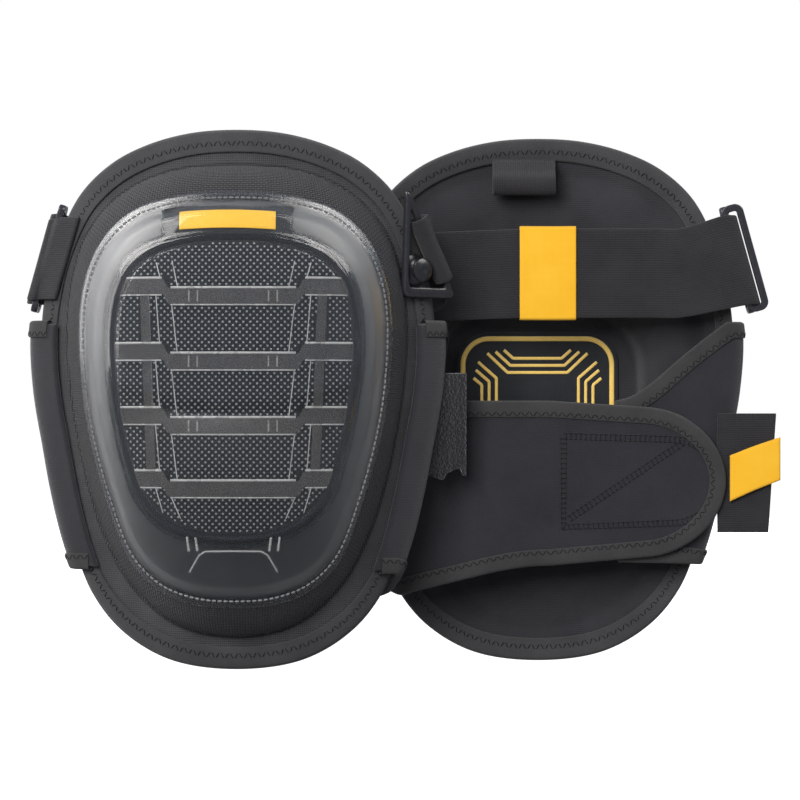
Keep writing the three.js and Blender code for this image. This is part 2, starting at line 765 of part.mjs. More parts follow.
// The elastic tail sewn under the tab's tip, with its end folded back.
function elasticTail() {
  const depth = WRAP_DEPTH - NEOPRENE / 2 - 0.75;
  const line = (z, tip) => [
    [-86.5, depth, z], [-97, depth, z], [tip + 2, depth, z], [tip + 0.4, depth - 0.6, z],
    [tip + 2, depth - 1.2, z], [-106, depth - 1.2, z],
  ];
  return sheet(ruled(line(-65, -111.5), line(-7, -115.3)), 0.9, 10);
}

function pullTab() {
  const line = (rootZ, tipZ) => [
    [-92.5, WRAP_DEPTH + 0.2, rootZ],
    [-104, WRAP_DEPTH + 0.5, (rootZ + tipZ) / 2],
    [-118.8, WRAP_DEPTH - 0.3, tipZ],
  ];
  return sheet(ruled(line(-50, -39.5), line(-27.5, -18.5)), 2.4, 5);
}

function loopFlap() {
  const line = (z) => [[101.2, 88.5, z], [105, 91.5, z], [110, 93.5, z]];
  return sheet(ruled(line(-38), line(12.5)), 2.6, 3);
}

// ---- One pad as named meshes ----
const PIECES = [
  ["cap_shell", capShell, MATERIALS.clear],
  ["cap_ribs", capRibs, MATERIALS.clear],
  ["badge_plate", badgePlate, MATERIALS.plastic],
  ["badge_bar", badgeBar, MATERIALS.yellow],
  ["grip_mesh", gripMesh, MATERIALS.mesh],
  ["body_cover", bodyCover, MATERIALS.cover],
  ["foam_core", foamCore, MATERIALS.foam],
  ["gel_firm_layer", () => gelLayer(0), MATERIALS.gel],
  ["gel_soft_layer", () => gelLayer(1), MATERIALS.gel],
  ["inner_liner", innerLiner, MATERIALS.liner],
  ["knee_panel", kneePanel, MATERIALS.print],
  ["edge_binding", edgeBinding, MATERIALS.binding],
  ["loop_wing", loopWing, MATERIALS.neoprene],
  ["wrap_main", wrapMain, MATERIALS.neoprene],
  ["wrap_tab", wrapTab, MATERIALS.neoprene],
  ["hook_patch", hookPatch, MATERIALS.hook],
  ["upper_strap", upperStrap, MATERIALS.elastic],
  ["strap_end", strapEnd, MATERIALS.elastic],
  ["strap_keeper", strapKeeper, MATERIALS.yellow],
  ["strap_ring", strapRing, MATERIALS.plastic],
  ["ring_tab", ringTab, MATERIALS.elastic],
  ["clip_stud", stud, MATERIALS.plastic],
  ["slip_clip", slipClip, MATERIALS.plastic],
  ["hang_loop", hangLoop, MATERIALS.elastic],
  ["elastic_tail", elasticTail, MATERIALS.elastic],
  ["pull_tab", pullTab, MATERIALS.yellow],
  ["loop_flap", loopFlap, MATERIALS.hook],
];
const WRAP_END = ["wrap_tab", "hook_patch", "elastic_tail", "pull_tab"];

function makePad(side) {
  const pad = new THREE.Group();
  const wrapEnd = new THREE.Group();
  wrapEnd.position.x = FITS[side].slack;
  pad.add(wrapEnd);
  for (const [name, make, material] of PIECES) {
    const mesh = new THREE.Mesh(make(FITS[side]), material);
    mesh.name = `${side}_${name}`;
    (WRAP_END.includes(name) ? wrapEnd : pad).add(mesh);
  }
  return pad;
}

// The part's origin is the middle of the left knee panel's leg side.
const PANEL_MIDDLE = (PANEL_LOW + PANEL_HIGH) / 2;
const kneePads = new THREE.Group();
const leftPad = makePad("left");
leftPad.position.set(0, -PANEL_BACK, -PANEL_MIDDLE);
const rightPad = makePad("right");
rightPad.position.set(PAD_SPACING, PAD_SETBACK - PANEL_BACK, -PANEL_MIDDLE);
rightPad.rotation.z = Math.PI;
kneePads.add(leftPad, rightPad);

export default kneePads;
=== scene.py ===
import math

import bmesh
import bpy
import numpy as np
from mathutils import Matrix, Vector


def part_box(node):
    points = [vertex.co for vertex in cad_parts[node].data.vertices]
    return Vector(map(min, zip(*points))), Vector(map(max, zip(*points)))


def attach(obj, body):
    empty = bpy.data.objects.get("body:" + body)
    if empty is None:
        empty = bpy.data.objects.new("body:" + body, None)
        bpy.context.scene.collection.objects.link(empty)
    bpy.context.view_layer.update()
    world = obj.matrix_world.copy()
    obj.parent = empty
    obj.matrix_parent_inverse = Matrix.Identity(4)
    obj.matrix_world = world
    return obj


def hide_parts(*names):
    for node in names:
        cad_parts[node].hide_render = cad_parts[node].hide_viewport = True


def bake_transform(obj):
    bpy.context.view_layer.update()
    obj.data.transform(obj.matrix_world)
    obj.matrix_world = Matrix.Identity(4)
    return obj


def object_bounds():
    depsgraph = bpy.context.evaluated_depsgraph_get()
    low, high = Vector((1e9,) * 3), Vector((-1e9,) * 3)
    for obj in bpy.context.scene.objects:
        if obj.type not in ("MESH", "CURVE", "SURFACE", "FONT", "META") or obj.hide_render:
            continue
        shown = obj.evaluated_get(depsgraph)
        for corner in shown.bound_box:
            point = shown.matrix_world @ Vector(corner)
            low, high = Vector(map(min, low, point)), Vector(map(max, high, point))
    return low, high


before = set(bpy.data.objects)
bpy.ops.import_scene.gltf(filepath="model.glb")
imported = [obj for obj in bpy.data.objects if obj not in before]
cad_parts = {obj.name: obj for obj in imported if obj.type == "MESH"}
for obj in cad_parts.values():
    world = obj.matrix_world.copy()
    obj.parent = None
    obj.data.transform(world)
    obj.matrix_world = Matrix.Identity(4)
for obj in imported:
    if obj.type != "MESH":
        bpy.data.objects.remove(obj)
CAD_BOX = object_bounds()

# Lengths are in the CAD's millimetres, in the pad's own frame, unless a name says otherwise: +X to the
# right when the cap is seen from the front, +Y from the cap towards the leg, +Z up the leg.
MM = 0.001

# ---- The CAD's driving dimensions ----
SIDE_RADIUS = 125
RISE_RADIUS = 420
FLANGE_DEPTH = 40
DOME_HEIGHT = 32.5
COVER_THICK = 1.6
LINER_THICK = 3.6
LINER_BACK = 5.6
LINER_ROLL = 8
KNEE_FLAT = 56
CAP_THICK = 2.2
CAP_RIM_STANDOFF = 2.8
CAP_STANDOFF = 7.8
GAP = 0.4
WEBBING = 1.8
NEOPRENE = 3
STRAP_LOW = 39.5
STRAP_HIGH = 83
STRAP_DEPTH = 96.8
RETURN_DEPTH = 99.8
WING_DEPTH = 95.2
WRAP_DEPTH = 101.2
WRAP_HINGE_X = -5
SLACK = {"left": 27, "right": 0}  # how much shorter each pad's wrap is fastened
PULL = {"left": 5, "right": 0}  # how far each pad's strap ring is drawn inwards
TURNED_BACK = {"left": True, "right": False}  # whether the ring's outer window is swung back
KEEPER_X = -4
BADGE_X = -3
PANEL_BACK = 57.6
PANEL_MIDDLE = -9.5
SIDES = ("left", "right")


# ---- Curves ----
def unit(v):
    return v / np.maximum(np.linalg.norm(v, axis=-1, keepdims=True), 1e-9)


def turns(steps):
    """Even angles once round a circle."""
    return np.linspace(0, 2 * math.pi, steps, endpoint=False)


def polar(radius, angle):
    """X and Z of places at a radius, each angle counted from straight up."""
    return radius * np.sin(angle), radius * np.cos(angle)


def reach_of(path):
    """The distance along a path at each of its points."""
    return np.concatenate([[0], np.cumsum(np.linalg.norm(np.diff(path, axis=0), axis=-1))])


def read_at(place, reach, values):
    """Columns of values along a path, read at other distances along it."""
    return np.stack([np.interp(place, reach, values[:, k]) for k in range(values.shape[1])], -1)


def smooth(low, high, value):
    t = np.clip((value - low) / (high - low), 0, 1)
    return t * t * (3 - 2 * t)


def mix(a, b, t):
    return a + (b - a) * t


def spline_at(points, t):
    """The place at share t of a centripetal Catmull-Rom curve whose spans take equal shares."""
    t = np.asarray(t, float)
    points = np.asarray(points, float)
    shape = (len(points), *t.shape, points.shape[-1])
    if points.ndim == 2:
        points = points.reshape(len(points), *([1] * t.ndim), -1)
    points = np.broadcast_to(points, shape)
    last = len(points) - 1
    ends = (2 * points[:1] - points[1:2], points, 2 * points[-1:] - points[-2:-1])
    padded = np.concatenate(ends)
    place = np.clip(t, 0, 1) * last
    index = np.minimum(place.astype(int), last - 1)
    f = (place - index)[..., None]
    a, b, c, d = (
        np.take_along_axis(padded, (index + k)[None, ..., None], 0)[0] for k in range(4)
    )
    d0, d1, d2 = (
        np.maximum(np.linalg.norm(v - u, axis=-1, keepdims=True), 1e-6) ** 0.5
        for u, v in ((a, b), (b, c), (c, d))
    )
    out = ((b - a) / d0 - (c - a) / (d0 + d1) + (c - b) / d1) * d1
    into = ((c - b) / d1 - (d - b) / (d1 + d2) + (d - c) / d2) * d1
    return b + out * f + (3 * (c - b) - 2 * out - into) * f**2 + (2 * (b - c) + out + into) * f**3


def closed_spline(points, steps):
    """Points on a closed centripetal Catmull-Rom curve."""
    wrapped = np.array([*points[-2:], *points, *points[:3]], float)
    count = len(wrapped) - 1
    t = np.linspace(2, count - 2, steps, endpoint=False) / count
    return spline_at(wrapped, t)


class Outline:
    """A closed outline on the front view: half of it from the top down, mirrored for the other half."""

    def __init__(self, half):
        left = [(-x, z) for x, z in half[-2:0:-1]]
        curve = closed_spline([*half, *left], 1440)
        angle = np.arctan2(curve[:, 0], curve[:, 1])
        order = np.argsort(angle)
        self.angles = angle[order]
        self.sizes = np.hypot(curve[:, 0], curve[:, 1])[order]
        right = self.angles > 0
        self.heights = (self.sizes * np.cos(self.angles))[right][::-1]
        self.widths = (self.sizes * np.sin(self.angles))[right][::-1]

    def radius(self, angle):
        return np.interp(angle, self.angles, self.sizes, period=2 * math.pi)

    def share(self, x, z):
        return np.hypot(x, z) / self.radius(np.arctan2(x, z))

    def half_width(self, z):
        return np.interp(z, self.heights, self.widths)


PAD = Outline([
    (0, 128.5), (22, 127), (43, 121.5), (60, 113), (75, 99), (85, 80), (92, 56), (95, 30),
    (93.5, 4), (89, -22), (84.5, -46), (78.5, -70), (69.5, -93), (55, -111), (32, -124.5), (0, -129),
])
DOME = Outline([
    (0, 111), (34, 107.5), (57, 96), (72, 78), (79, 56), (81, 33), (79.5, 8),
    (76, -16), (70.5, -41), (62, -66), (49, -89), (28, -107), (0, -113),
])
CAP = Outline([
    (0, 98), (28, 96), (50, 88.5), (64.5, 74), (72, 56), (74.5, 36), (73.4, 10),
    (70, -14), (61, -48), (49.5, -77), (36, -90.5), (19, -97), (0, -98.5),
])
WINDOW = Outline([
    (0, 76.5), (22, 75), (38, 70.5), (49.5, 62), (56, 47), (58, 29), (57, 9),
    (54, -11), (49.5, -30), (43.5, -46), (32, -58), (17, -64), (0, -65.5),
])
KNEE_RECESS = Outline([(0, 40), (30, 39), (46, 26), (49, -8), (47, -42), (32, -59), (0, -61)])


# ---- Surfaces: depth behind the cap's crown at a place on the front view ----
def flange_depth(x, z):
    side = SIDE_RADIUS - np.sqrt(SIDE_RADIUS**2 - x * x)
    return FLANGE_DEPTH + side + z * z / (2 * RISE_RADIUS)


def cover_depth(x, z):
    share = np.minimum(1, DOME.share(x, z))
    return flange_depth(x, z) - DOME_HEIGHT * np.sqrt(1 - share**4)


CAP_WALL = (0.885, 0.945)  # shares of the cap's outline between which its wall rises from the sewn lip
RIDGE_HEIGHT = 1.2
RIDGE_WIDTH = 0.018
WINDOW_INSET = 0.7


def cap_depth(x, z):
    raised = 1 - smooth(*CAP_WALL, CAP.share(x, z))
    rise = CAP_RIM_STANDOFF + (CAP_STANDOFF - CAP_RIM_STANDOFF) * raised
    window = WINDOW.share(x, z)
    ridge = RIDGE_HEIGHT * np.exp(-(((window - 1) / RIDGE_WIDTH) ** 2))
    inset = WINDOW_INSET * (1 - smooth(0.955, 0.985, window))
    return cover_depth(x, z) - rise - ridge + inset


def liner_depth(x, z):
    roll = LINER_ROLL * (1 - smooth(0.86, 1, DOME.share(x, z)))
    raised = flange_depth(x, z) + LINER_BACK + roll
    return mix(KNEE_FLAT, raised, smooth(0.97, 1.1, KNEE_RECESS.share(x, z)))


def over_flange(x, z, height):
    """A place at a height straight out from the flange's front."""
    x, z, height = np.broadcast_arrays(*(np.asarray(v, float) for v in (x, z, height)))
    slope = x / np.sqrt(SIDE_RADIUS**2 - x * x)
    out = unit(np.stack([slope, -np.ones_like(x), z / RISE_RADIUS], -1))
    return on(flange_depth, x, z) + out * height[..., None]


def on(depth, x, z):
    """Places on a surface that is given by its depth."""
    return np.stack([x, depth(x, z), z], -1)


def outward(depth, x, z, step=0.5):
    """Unit normals of such a surface, towards the front."""
    slope_x = (depth(x + step, z) - depth(x - step, z)) / (2 * step)
    slope_z = (depth(x, z + step) - depth(x, z - step)) / (2 * step)
    return unit(np.stack([slope_x, -np.ones_like(x), slope_z], -1))


# ---- Meshes ----
def lengths(points, axis):
    """Distance along one way of a grid of points, averaged over the other way."""
    step = np.linalg.norm(np.diff(points, axis=axis), axis=-1).mean(1 - axis)
    return np.concatenate([[0], np.cumsum(step)])


def grid_mesh(name, points, uv=None, round_rows=False, round_columns=False):
    """A mesh of quads from a grid of points, with UVs in metres; doubled points are merged."""

    def closed(values):
        if round_rows:
            values = np.concatenate([values, values[:1]], 0)
        if round_columns:
            values = np.concatenate([values, values[:, :1]], 1)
        return values

    rows, columns, _ = points.shape
    ends = closed(points)
    if uv is None:
        uv = plain_uv(lengths(ends, 0), lengths(ends, 1))
    else:
        uv = closed(uv)
    i, j = np.meshgrid(*(np.arange(n - 1) for n in ends.shape[:2]), indexing="ij")
    corners = [(i, j), (i + 1, j), (i + 1, j + 1), (i, j + 1)]
    faces = np.stack([(a % rows) * columns + b % columns for a, b in corners], -1).reshape(-1, 4)
    places = np.stack([uv[a, b] for a, b in corners], -2).reshape(-1, 2)
    mesh = bpy.data.meshes.new(name)
    mesh.from_pydata((points.reshape(-1, 3) * MM).tolist(), [], faces.tolist())
    layer = mesh.uv_layers.new(name="UVMap")
    layer.data.foreach_set("uv", (places * MM).astype(np.float32).ravel())
    return tidy(mesh)


def plain_uv(along, across):
    return np.stack(np.meshgrid(along, across, indexing="ij"), -1)


def tidy(mesh):
    work = bmesh.new()
    work.from_mesh(mesh)
    bmesh.ops.remove_doubles(work, verts=work.verts, dist=4e-6)
    bmesh.ops.dissolve_degenerate(work, edges=work.edges, dist=1e-7)
    bmesh.ops.recalc_face_normals(work, faces=work.faces)
    work.to_mesh(mesh)
    work.free()
    mesh.shade_smooth()
    return mesh


def joined(name, meshes):
    """One mesh from several, with their UVs."""
    work = bmesh.new()
    for mesh in meshes:
        work.from_mesh(mesh)
        bpy.data.meshes.remove(mesh)
    whole = bpy.data.meshes.new(name)
    work.to_mesh(whole)
    work.free()
    whole.shade_smooth()
    return whole


def normals_of(points):
    """Unit normals of a grid of points."""
    return unit(np.cross(np.gradient(points, axis=0), np.gradient(points, axis=1)))


RIM_STEPS = np.array([0, 0.06, 0.25, 0.6])


def stops(steps, size, rim):
    """Shares of a length, closer together where its ends round over."""
    edge = min(rim / size, 0.3) * RIM_STEPS
    first = min(rim / size, 0.3)
    return np.concatenate([edge, np.linspace(first, 1 - first, steps), 1 - edge[::-1]])


def rounded_half(place, size, rim):
    """Share of the full thickness at a distance from either end of a length."""
    away = np.minimum(place, size - place) / rim
    return np.sqrt(1 - (1 - np.clip(away, 0, 1)) ** 2)


def cloth_solid(name, middle, thickness):
    """Cloth of an even thickness round a grid of its middle surface, its edges rounded over."""
    along, across = lengths(middle, 0), lengths(middle, 1)
    rim = thickness / 2
    share = rounded_half(along, along[-1], rim)[:, None] * rounded_half(across, across[-1], rim)
    offset = normals_of(middle) * (share * rim)[..., None]
    uv = plain_uv(along, across)
    points = np.concatenate([middle + offset, (middle - offset)[:, ::-1]], 1)
    return grid_mesh(name, points, np.concatenate([uv, uv[:, ::-1]], 1), round_columns=True)


def strip_grid(point, along, across, rim):
    """The middle surface of a strip: point(t, s), with steps chosen along and across it."""
    rough = point(np.linspace(0, 1, 40)[:, None], np.linspace(0, 1, 5)[None])
    t = stops(along, lengths(rough, 0)[-1], rim)
    s = stops(across, lengths(rough, 1)[-1], rim)
    return point(t[:, None], s[None])


def strip(name, point, thickness, along, across):
    middle = strip_grid(point, along, across, thickness / 2)
    return cloth_solid(name, middle, thickness), middle


def ruled(low, high):
    """A strip ruled between a lower and an upper line through the same number of points."""

    def point(t, s):
        t, s = np.broadcast_arrays(t, s)
        return mix(spline_at(low, t), spline_at(high, t), s[..., None])

    return point


def radial(rings, angles=240):
    """Places on rings from the middle out: each ring is (outline, share, steps to it, easing)."""
    angle = turns(angles)
    reached = np.zeros(angles)
    columns = [reached]
    for outline, share, steps, ease in rings:
        target = outline.radius(angle) * share
        for k in range(1, steps + 1):
            columns.append(mix(reached, target, 1 - (1 - k / steps) ** ease))
        reached = target
    return polar(np.stack(columns, 1), angle[:, None])


def spread_uv(points):
    """UVs of a radial grid, at their true distance from the middle along the surface."""
    step = np.linalg.norm(np.diff(points, axis=1), axis=-1)
    reach = np.concatenate([np.zeros((len(points), 1)), np.cumsum(step, 1)], 1)
    return np.stack(polar(reach, turns(len(points))[:, None]), -1)


def surface(rings, depth, angles=240):
    return on(depth, *radial(rings, angles))


def slab(name, front, back, edge_round):
    """A closed solid between two radial grids, whose edge bulges between them."""
    uv_front, uv_back = spread_uv(front), spread_uv(back)
    parts, uvs = [front], [uv_front]
    out = unit(front[:, -1] - front[:, -2])
    for angle in (0.35, 0.8, 1.3):
        share = (1 - math.cos(angle * 2)) / 2
        edge = mix(front[:, -1], back[:, -1], share) + out * edge_round * math.sin(angle * 2)
        parts.append(edge[:, None])
        uvs.append(uv_front[:, -1:] * (1 + 0.01 * share))
    points = np.concatenate([*parts, back[:, ::-1]], 1)
    return grid_mesh(name, points, np.concatenate([*uvs, uv_back[:, ::-1]], 1), round_rows=True)


def tube(name, path, radius, flat, closed=False):
    """An oval bar of eight sides along a path; flat is its height over its width."""
    if closed:
        tangent = np.roll(path, -1, 0) - np.roll(path, 1, 0)
    else:
        tangent = np.gradient(path, axis=0)
    tangent = unit(tangent)
    side = unit(np.cross(tangent, np.broadcast_to((0.0, 1.0, 0.0), tangent.shape)))
    over = np.cross(side, tangent)
    angle = turns(8)[None, :, None]
    ring = side[:, None] * np.cos(angle) + over[:, None] * np.sin(angle) * flat
    points = path[:, None] + ring * radius
    if not closed:
        ends = [np.repeat(path[[k], None], 8, 1) for k in (0, -1)]
        points = np.concatenate([ends[0], points, ends[1]])
    return grid_mesh(name, points, round_rows=closed, round_columns=True)


def lathe(profile, sides):
    """Corners and faces of a turned template: profile of (along X, radius) pairs, ends on the axis."""
    corners, faces, rings = [], [], []
    for along, radius in profile:
        if radius < 1e-6:
            rings.append([len(corners)])
            corners.append((along, 0, 0))
            continue
        rings.append(list(range(len(corners), len(corners) + sides)))
        for k in range(sides):
            angle = 2 * math.pi * k / sides
            corners.append((along, radius * math.cos(angle), radius * math.sin(angle)))
    for here, there in zip(rings, rings[1:]):
        for k in range(sides):
            quad = [here[k % len(here)], there[k % len(there)]]
            quad += [there[(k + 1) % len(there)], here[(k + 1) % len(here)]]
            faces.append(list(dict.fromkeys(quad)))
    return np.array(corners, float), faces


def stamped(name, template, origins, frames):
    """Copies of a template at each origin, with its X, Y and Z along that frame's rows."""
    corners, faces = template
    points = origins[:, None] + np.einsum("kc,mcd->mkd", corners, frames)
    whole = [[c + m * len(corners) for c in face] for m in range(len(origins)) for face in faces]
    mesh = bpy.data.meshes.new(name)
    mesh.from_pydata((points.reshape(-1, 3) * MM).tolist(), [], whole)
    mesh.shade_smooth()
    return mesh


def resampled(path, normals, spacing, closed=False):
    """Even places along a path with their normals and directions."""
    if closed:
        path = np.concatenate([path, path[:1]])
        normals = np.concatenate([normals, normals[:1]])
    reach = reach_of(path)
    count = max(2, int(reach[-1] / spacing))
    place = (np.arange(count) + 0.5) * reach[-1] / count
    ahead = read_at(place + 0.4, reach, path) - read_at(place - 0.4, reach, path)
    return read_at(place, reach, path), unit(ahead), unit(read_at(place, reach, normals))


def stitches(name, path, normals, spacing=3.4, length=2.7, radius=0.42, swing=0.0, lift=0.1, closed=False):
    """Thread stitches on a path; swing turns every other one the other way, as a zigzag."""
    at, along, normal = resampled(path, normals, spacing, closed)
    turn = np.where(np.arange(len(at)) % 2 == 0, 1, -1)[:, None] * math.radians(swing)
    side = unit(np.cross(normal, along))
    ahead = unit(along * np.cos(turn) + side * np.sin(turn))
    frames = np.stack([ahead, np.cross(normal, ahead), normal], 1)
    shape = [(-1, 0), (-0.93, 0.5), (-0.7, 0.9), (0, 1), (0.7, 0.9), (0.93, 0.5), (1, 0)]
    template = lathe([(a * length / 2, r * radius) for a, r in shape], 7)
    return stamped(name, template, at + normal * lift, frames)


def edge_tape(name, path, inward, normals):
    """Tape folded over an edge: a C section carried along the edge's path."""
    width, inside, outside = 6.4, 1.55, 2.25
    bend = [(-0.75 * math.cos(a) * outside, math.sin(a) * outside) for a in np.linspace(1.45, -1.45, 9)]
    under = [(0.15 - 0.6 * math.cos(a) * inside, math.sin(a) * inside) for a in np.linspace(-1.45, 1.45, 7)]
    lip = [(width - 0.5, outside), (width, outside - 0.12), (width, inside + 0.05)]
    section = [
        *lip[::-1], (width * 0.5, outside + 0.12), *bend,
        (width * 0.5, -outside - 0.12), *[(a, -h) for a, h in lip], *under,
    ]
    inset, height = np.array(section).T[:, None, :, None]
    points = path[:, None] + inward[:, None] * inset + normals[:, None] * height
    return grid_mesh(name, points, round_columns=True)


# ---- Materials ----
def node(tree, kind, inputs=(), **settings):
    made = tree.nodes.new(kind)
    for key, value in settings.items():
        setattr(made, key, value)
    for key, value in dict(inputs).items():
        if isinstance(value, bpy.types.NodeSocket):
            tree.links.new(value, made.inputs[key])
        else:
            made.inputs[key].default_value = value
    return made


def sums(tree, kind, a, b=0.0, c=0.0):
    return node(tree, "ShaderNodeMath", {0: a, 1: b, 2: c}, operation=kind).outputs[0]


def colour(red, green, blue):
    """A linear colour from 0-255 screen values."""
    linear = [v / 255 / 12.92 if v < 10.3 else ((v / 255 + 0.055) / 1.055) ** 2.4 for v in (red, green, blue)]
    return (*linear, 1.0)


def blank(name, **values):
    material = bpy.data.materials.new(name)
    material.use_nodes = True
    shader = material.node_tree.nodes["Principled BSDF"]
    for key, value in values.items():
        shader.inputs[key.replace("_", " ")].default_value = value
    return material, material.node_tree, shader


def plug(tree, value, shader, name):
    tree.links.new(value, shader.inputs[name])


def bump(tree, shader, height, relief, strength=1.0):
    """Raises a material's surface by that relief in mm."""
    inputs = {"Strength": strength, "Distance": relief * MM, "Height": height}
    plug(tree, node(tree, "ShaderNodeBump", inputs).outputs[0], shader, "Normal")


def scaled_uv(tree, pitch):
    """The surface's own coordinates and their X and Y, one unit for each pitch in millimetres."""
    place = node(tree, "ShaderNodeTexCoord").outputs["UV"]
    x, y = (1 / (p * MM) for p in pitch)
    inputs = {"Vector": place, "Scale": (x, y, 1), "Location": (0, 0, 0.5)}
    scaled = node(tree, "ShaderNodeMapping", inputs).outputs[0]
    apart = node(tree, "ShaderNodeSeparateXYZ", {0: scaled})
    return scaled, apart.outputs[0], apart.outputs[1]


def humps(tree, value, times=1):
    """Round humps of height 1, that many to each unit of a value."""
    wave = sums(tree, "SINE", sums(tree, "MULTIPLY", value, times * math.pi))
    return sums(tree, "ABSOLUTE", wave)


def solid_texture(tree, kind, scale_mm, inputs=(), **settings):
    """A texture through the solid whose features are about that many millimetres across."""
    place = node(tree, "ShaderNodeTexCoord").outputs["Object"]
    inputs = {"Vector": place, "Scale": 1 / (scale_mm * MM), **dict(inputs)}
    return node(tree, kind, inputs, **settings).outputs[0]


def noise(tree, scale_mm, detail=3):
    return solid_texture(tree, "ShaderNodeTexNoise", scale_mm, {"Detail": detail, "Roughness": 0.6})


def span(tree, value, low, high, to_low, to_high):
    inputs = {0: value, 1: low, 2: high, 3: to_low, 4: to_high}
    return node(tree, "ShaderNodeMapRange", inputs).outputs[0]


def shaded(tree, factor, dark, light):
    inputs = {0: factor, 6: dark, 7: light}
    return node(tree, "ShaderNodeMix", inputs, data_type="RGBA").outputs[2]


def weave_height(tree, pitch):
    """Plain weave: warp threads on top in one half of the squares and weft threads in the other."""
    place, x, y = scaled_uv(tree, pitch)
    warp, weft = humps(tree, x), humps(tree, y)
    over = node(tree, "ShaderNodeTexChecker", {"Vector": place, "Scale": 1.0}).outputs["Fac"]
    first = sums(tree, "MULTIPLY", warp, span(tree, weft, 0, 1, 0.45, 1))
    second = sums(tree, "MULTIPLY", weft, span(tree, warp, 0, 1, 0.45, 1))
    under = sums(tree, "MULTIPLY", second, sums(tree, "SUBTRACT", 1.0, over))
    return sums(tree, "ADD", sums(tree, "MULTIPLY", first, over), under)


def twill_height(tree, pitch):
    """Diagonal ribs crossed by fine threads."""
    _, x, y = scaled_uv(tree, pitch)
    rib = humps(tree, sums(tree, "ADD", x, y))
    return sums(tree, "MULTIPLY_ADD", rib, 0.8, sums(tree, "MULTIPLY", humps(tree, y, 2), 0.2))


def knit_height(tree, pitch):
    """Rows of small loops, as on a knitted face."""
    _, x, y = scaled_uv(tree, pitch)
    bow = humps(tree, x)
    row = humps(tree, sums(tree, "MULTIPLY_ADD", bow, 0.45, y))
    return sums(tree, "MULTIPLY", row, span(tree, bow, 0, 1, 0.5, 1))


def textile(name, height, pitch, dark, light, relief, sheen=0.15, fuzz=0.3):
    """Cloth: threads shade and raise the surface, with fluff and slow changes of tone over them."""
    material, tree, shader = blank(
        name, Roughness=0.9, Sheen_Weight=sheen, Sheen_Roughness=0.5, Specular_IOR_Level=0.25
    )
    threads = height(tree, pitch)
    fluff = noise(tree, 0.9, 2)
    clouds = span(tree, noise(tree, 26), 0.3, 0.7, -0.16, 0.16)
    tone = sums(tree, "MULTIPLY_ADD", threads, 0.7, clouds)
    tone = sums(tree, "ADD", tone, sums(tree, "MULTIPLY", fluff, fuzz))
    shade = shaded(tree, span(tree, tone, 0.1, 0.95, 0, 1), colour(*dark), colour(*light))
    plug(tree, shade, shader, "Base Color")
    bump(tree, shader, sums(tree, "MULTIPLY_ADD", fluff, fuzz, threads), relief)
    return material


def moulded(name, base, rough, grain=0.03, edge=None):
    """Moulded plastic with a fine grain, its sharp edges painted a little lighter as a painted highlight."""
    material, tree, shader = blank(name, Roughness=rough)
    base = colour(*base)
    light = colour(*edge) if edge else tuple(min(1, c * 2.2) for c in base[:3]) + (1.0,)
    pointed = node(tree, "ShaderNodeNewGeometry").outputs["Pointiness"]
    # painted highlight: convex edges, found by their pointiness, are painted towards the lighter colour
    edge_highlight = span(tree, sums(tree, "MULTIPLY_ADD", noise(tree, 2.5), 0.08, pointed), 0.53, 0.62, 0, 1)
    plug(tree, shaded(tree, edge_highlight, base, light), shader, "Base Color")
    plug(tree, span(tree, noise(tree, 3.0), 0.3, 0.7, rough * 0.8, rough * 1.25), shader, "Roughness")
    bump(tree, shader, noise(tree, 0.6), grain)
    return material


BAND_HAZE = 0.3  # added roughness on the cap's band round the window


def clear_plastic(name, tint, through, rough):
    """Clear moulded plastic: it lets lamps through to what lies under it; the rest is haze."""
    material, tree, shader = blank(name, Transmission_Weight=through, IOR=1.46, Base_Color=colour(*tint))
    matt = node(tree, "ShaderNodeAttribute", attribute_name="haze").outputs["Fac"]
    uneven = span(tree, noise(tree, 14), 0.3, 0.7, rough * 0.5, rough * 1.5)
    plug(tree, sums(tree, "MULTIPLY_ADD", matt, BAND_HAZE, uneven), shader, "Roughness")
    bump(tree, shader, noise(tree, 9, 1), 0.06, 0.5)
    shadow = node(tree, "ShaderNodeLightPath").outputs["Is Shadow Ray"]
    clear = node(tree, "ShaderNodeBsdfTransparent", {"Color": (0.86, 0.87, 0.88, 1)})
    mixed = node(tree, "ShaderNodeMixShader", {0: shadow, 1: shader.outputs[0], 2: clear.outputs[0]})
    out = next(n for n in tree.nodes if n.type == "OUTPUT_MATERIAL")
    plug(tree, mixed.outputs[0], out, "Surface")
    return material


def gel_material():
    material, tree, shader = blank(
        "gel", Transmission_Weight=0.7, IOR=1.42, Roughness=0.25, Subsurface_Weight=0.2
    )
    shade = shaded(tree, noise(tree, 8), colour(120, 150, 165), colour(165, 190, 200))
    plug(tree, shade, shader, "Base Color")
    bump(tree, shader, noise(tree, 6), 0.2)
    return material


def foam_material():
    material, tree, shader = blank("foam", Roughness=0.95)
    cells = solid_texture(tree, "ShaderNodeTexVoronoi", 1.1)
    plug(tree, shaded(tree, cells, colour(70, 70, 74), colour(120, 120, 124)), shader, "Base Color")
    bump(tree, shader, cells, 0.4)
    return material


def pile_material():
    """Loop pile: a mat of tiny curled fibres."""
    material, tree, shader = blank("loop_pile", Roughness=1.0, Sheen_Weight=0.5)
    curls = solid_texture(tree, "ShaderNodeTexVoronoi", 1.3, distance="MANHATTAN")
    deep = span(tree, sums(tree, "MULTIPLY", curls, noise(tree, 2)), 0, 0.45, 0, 1)
    plug(tree, shaded(tree, deep, colour(10, 10, 11), colour(34, 33, 36)), shader, "Base Color")
    bump(tree, shader, curls, 0.45)
    return material


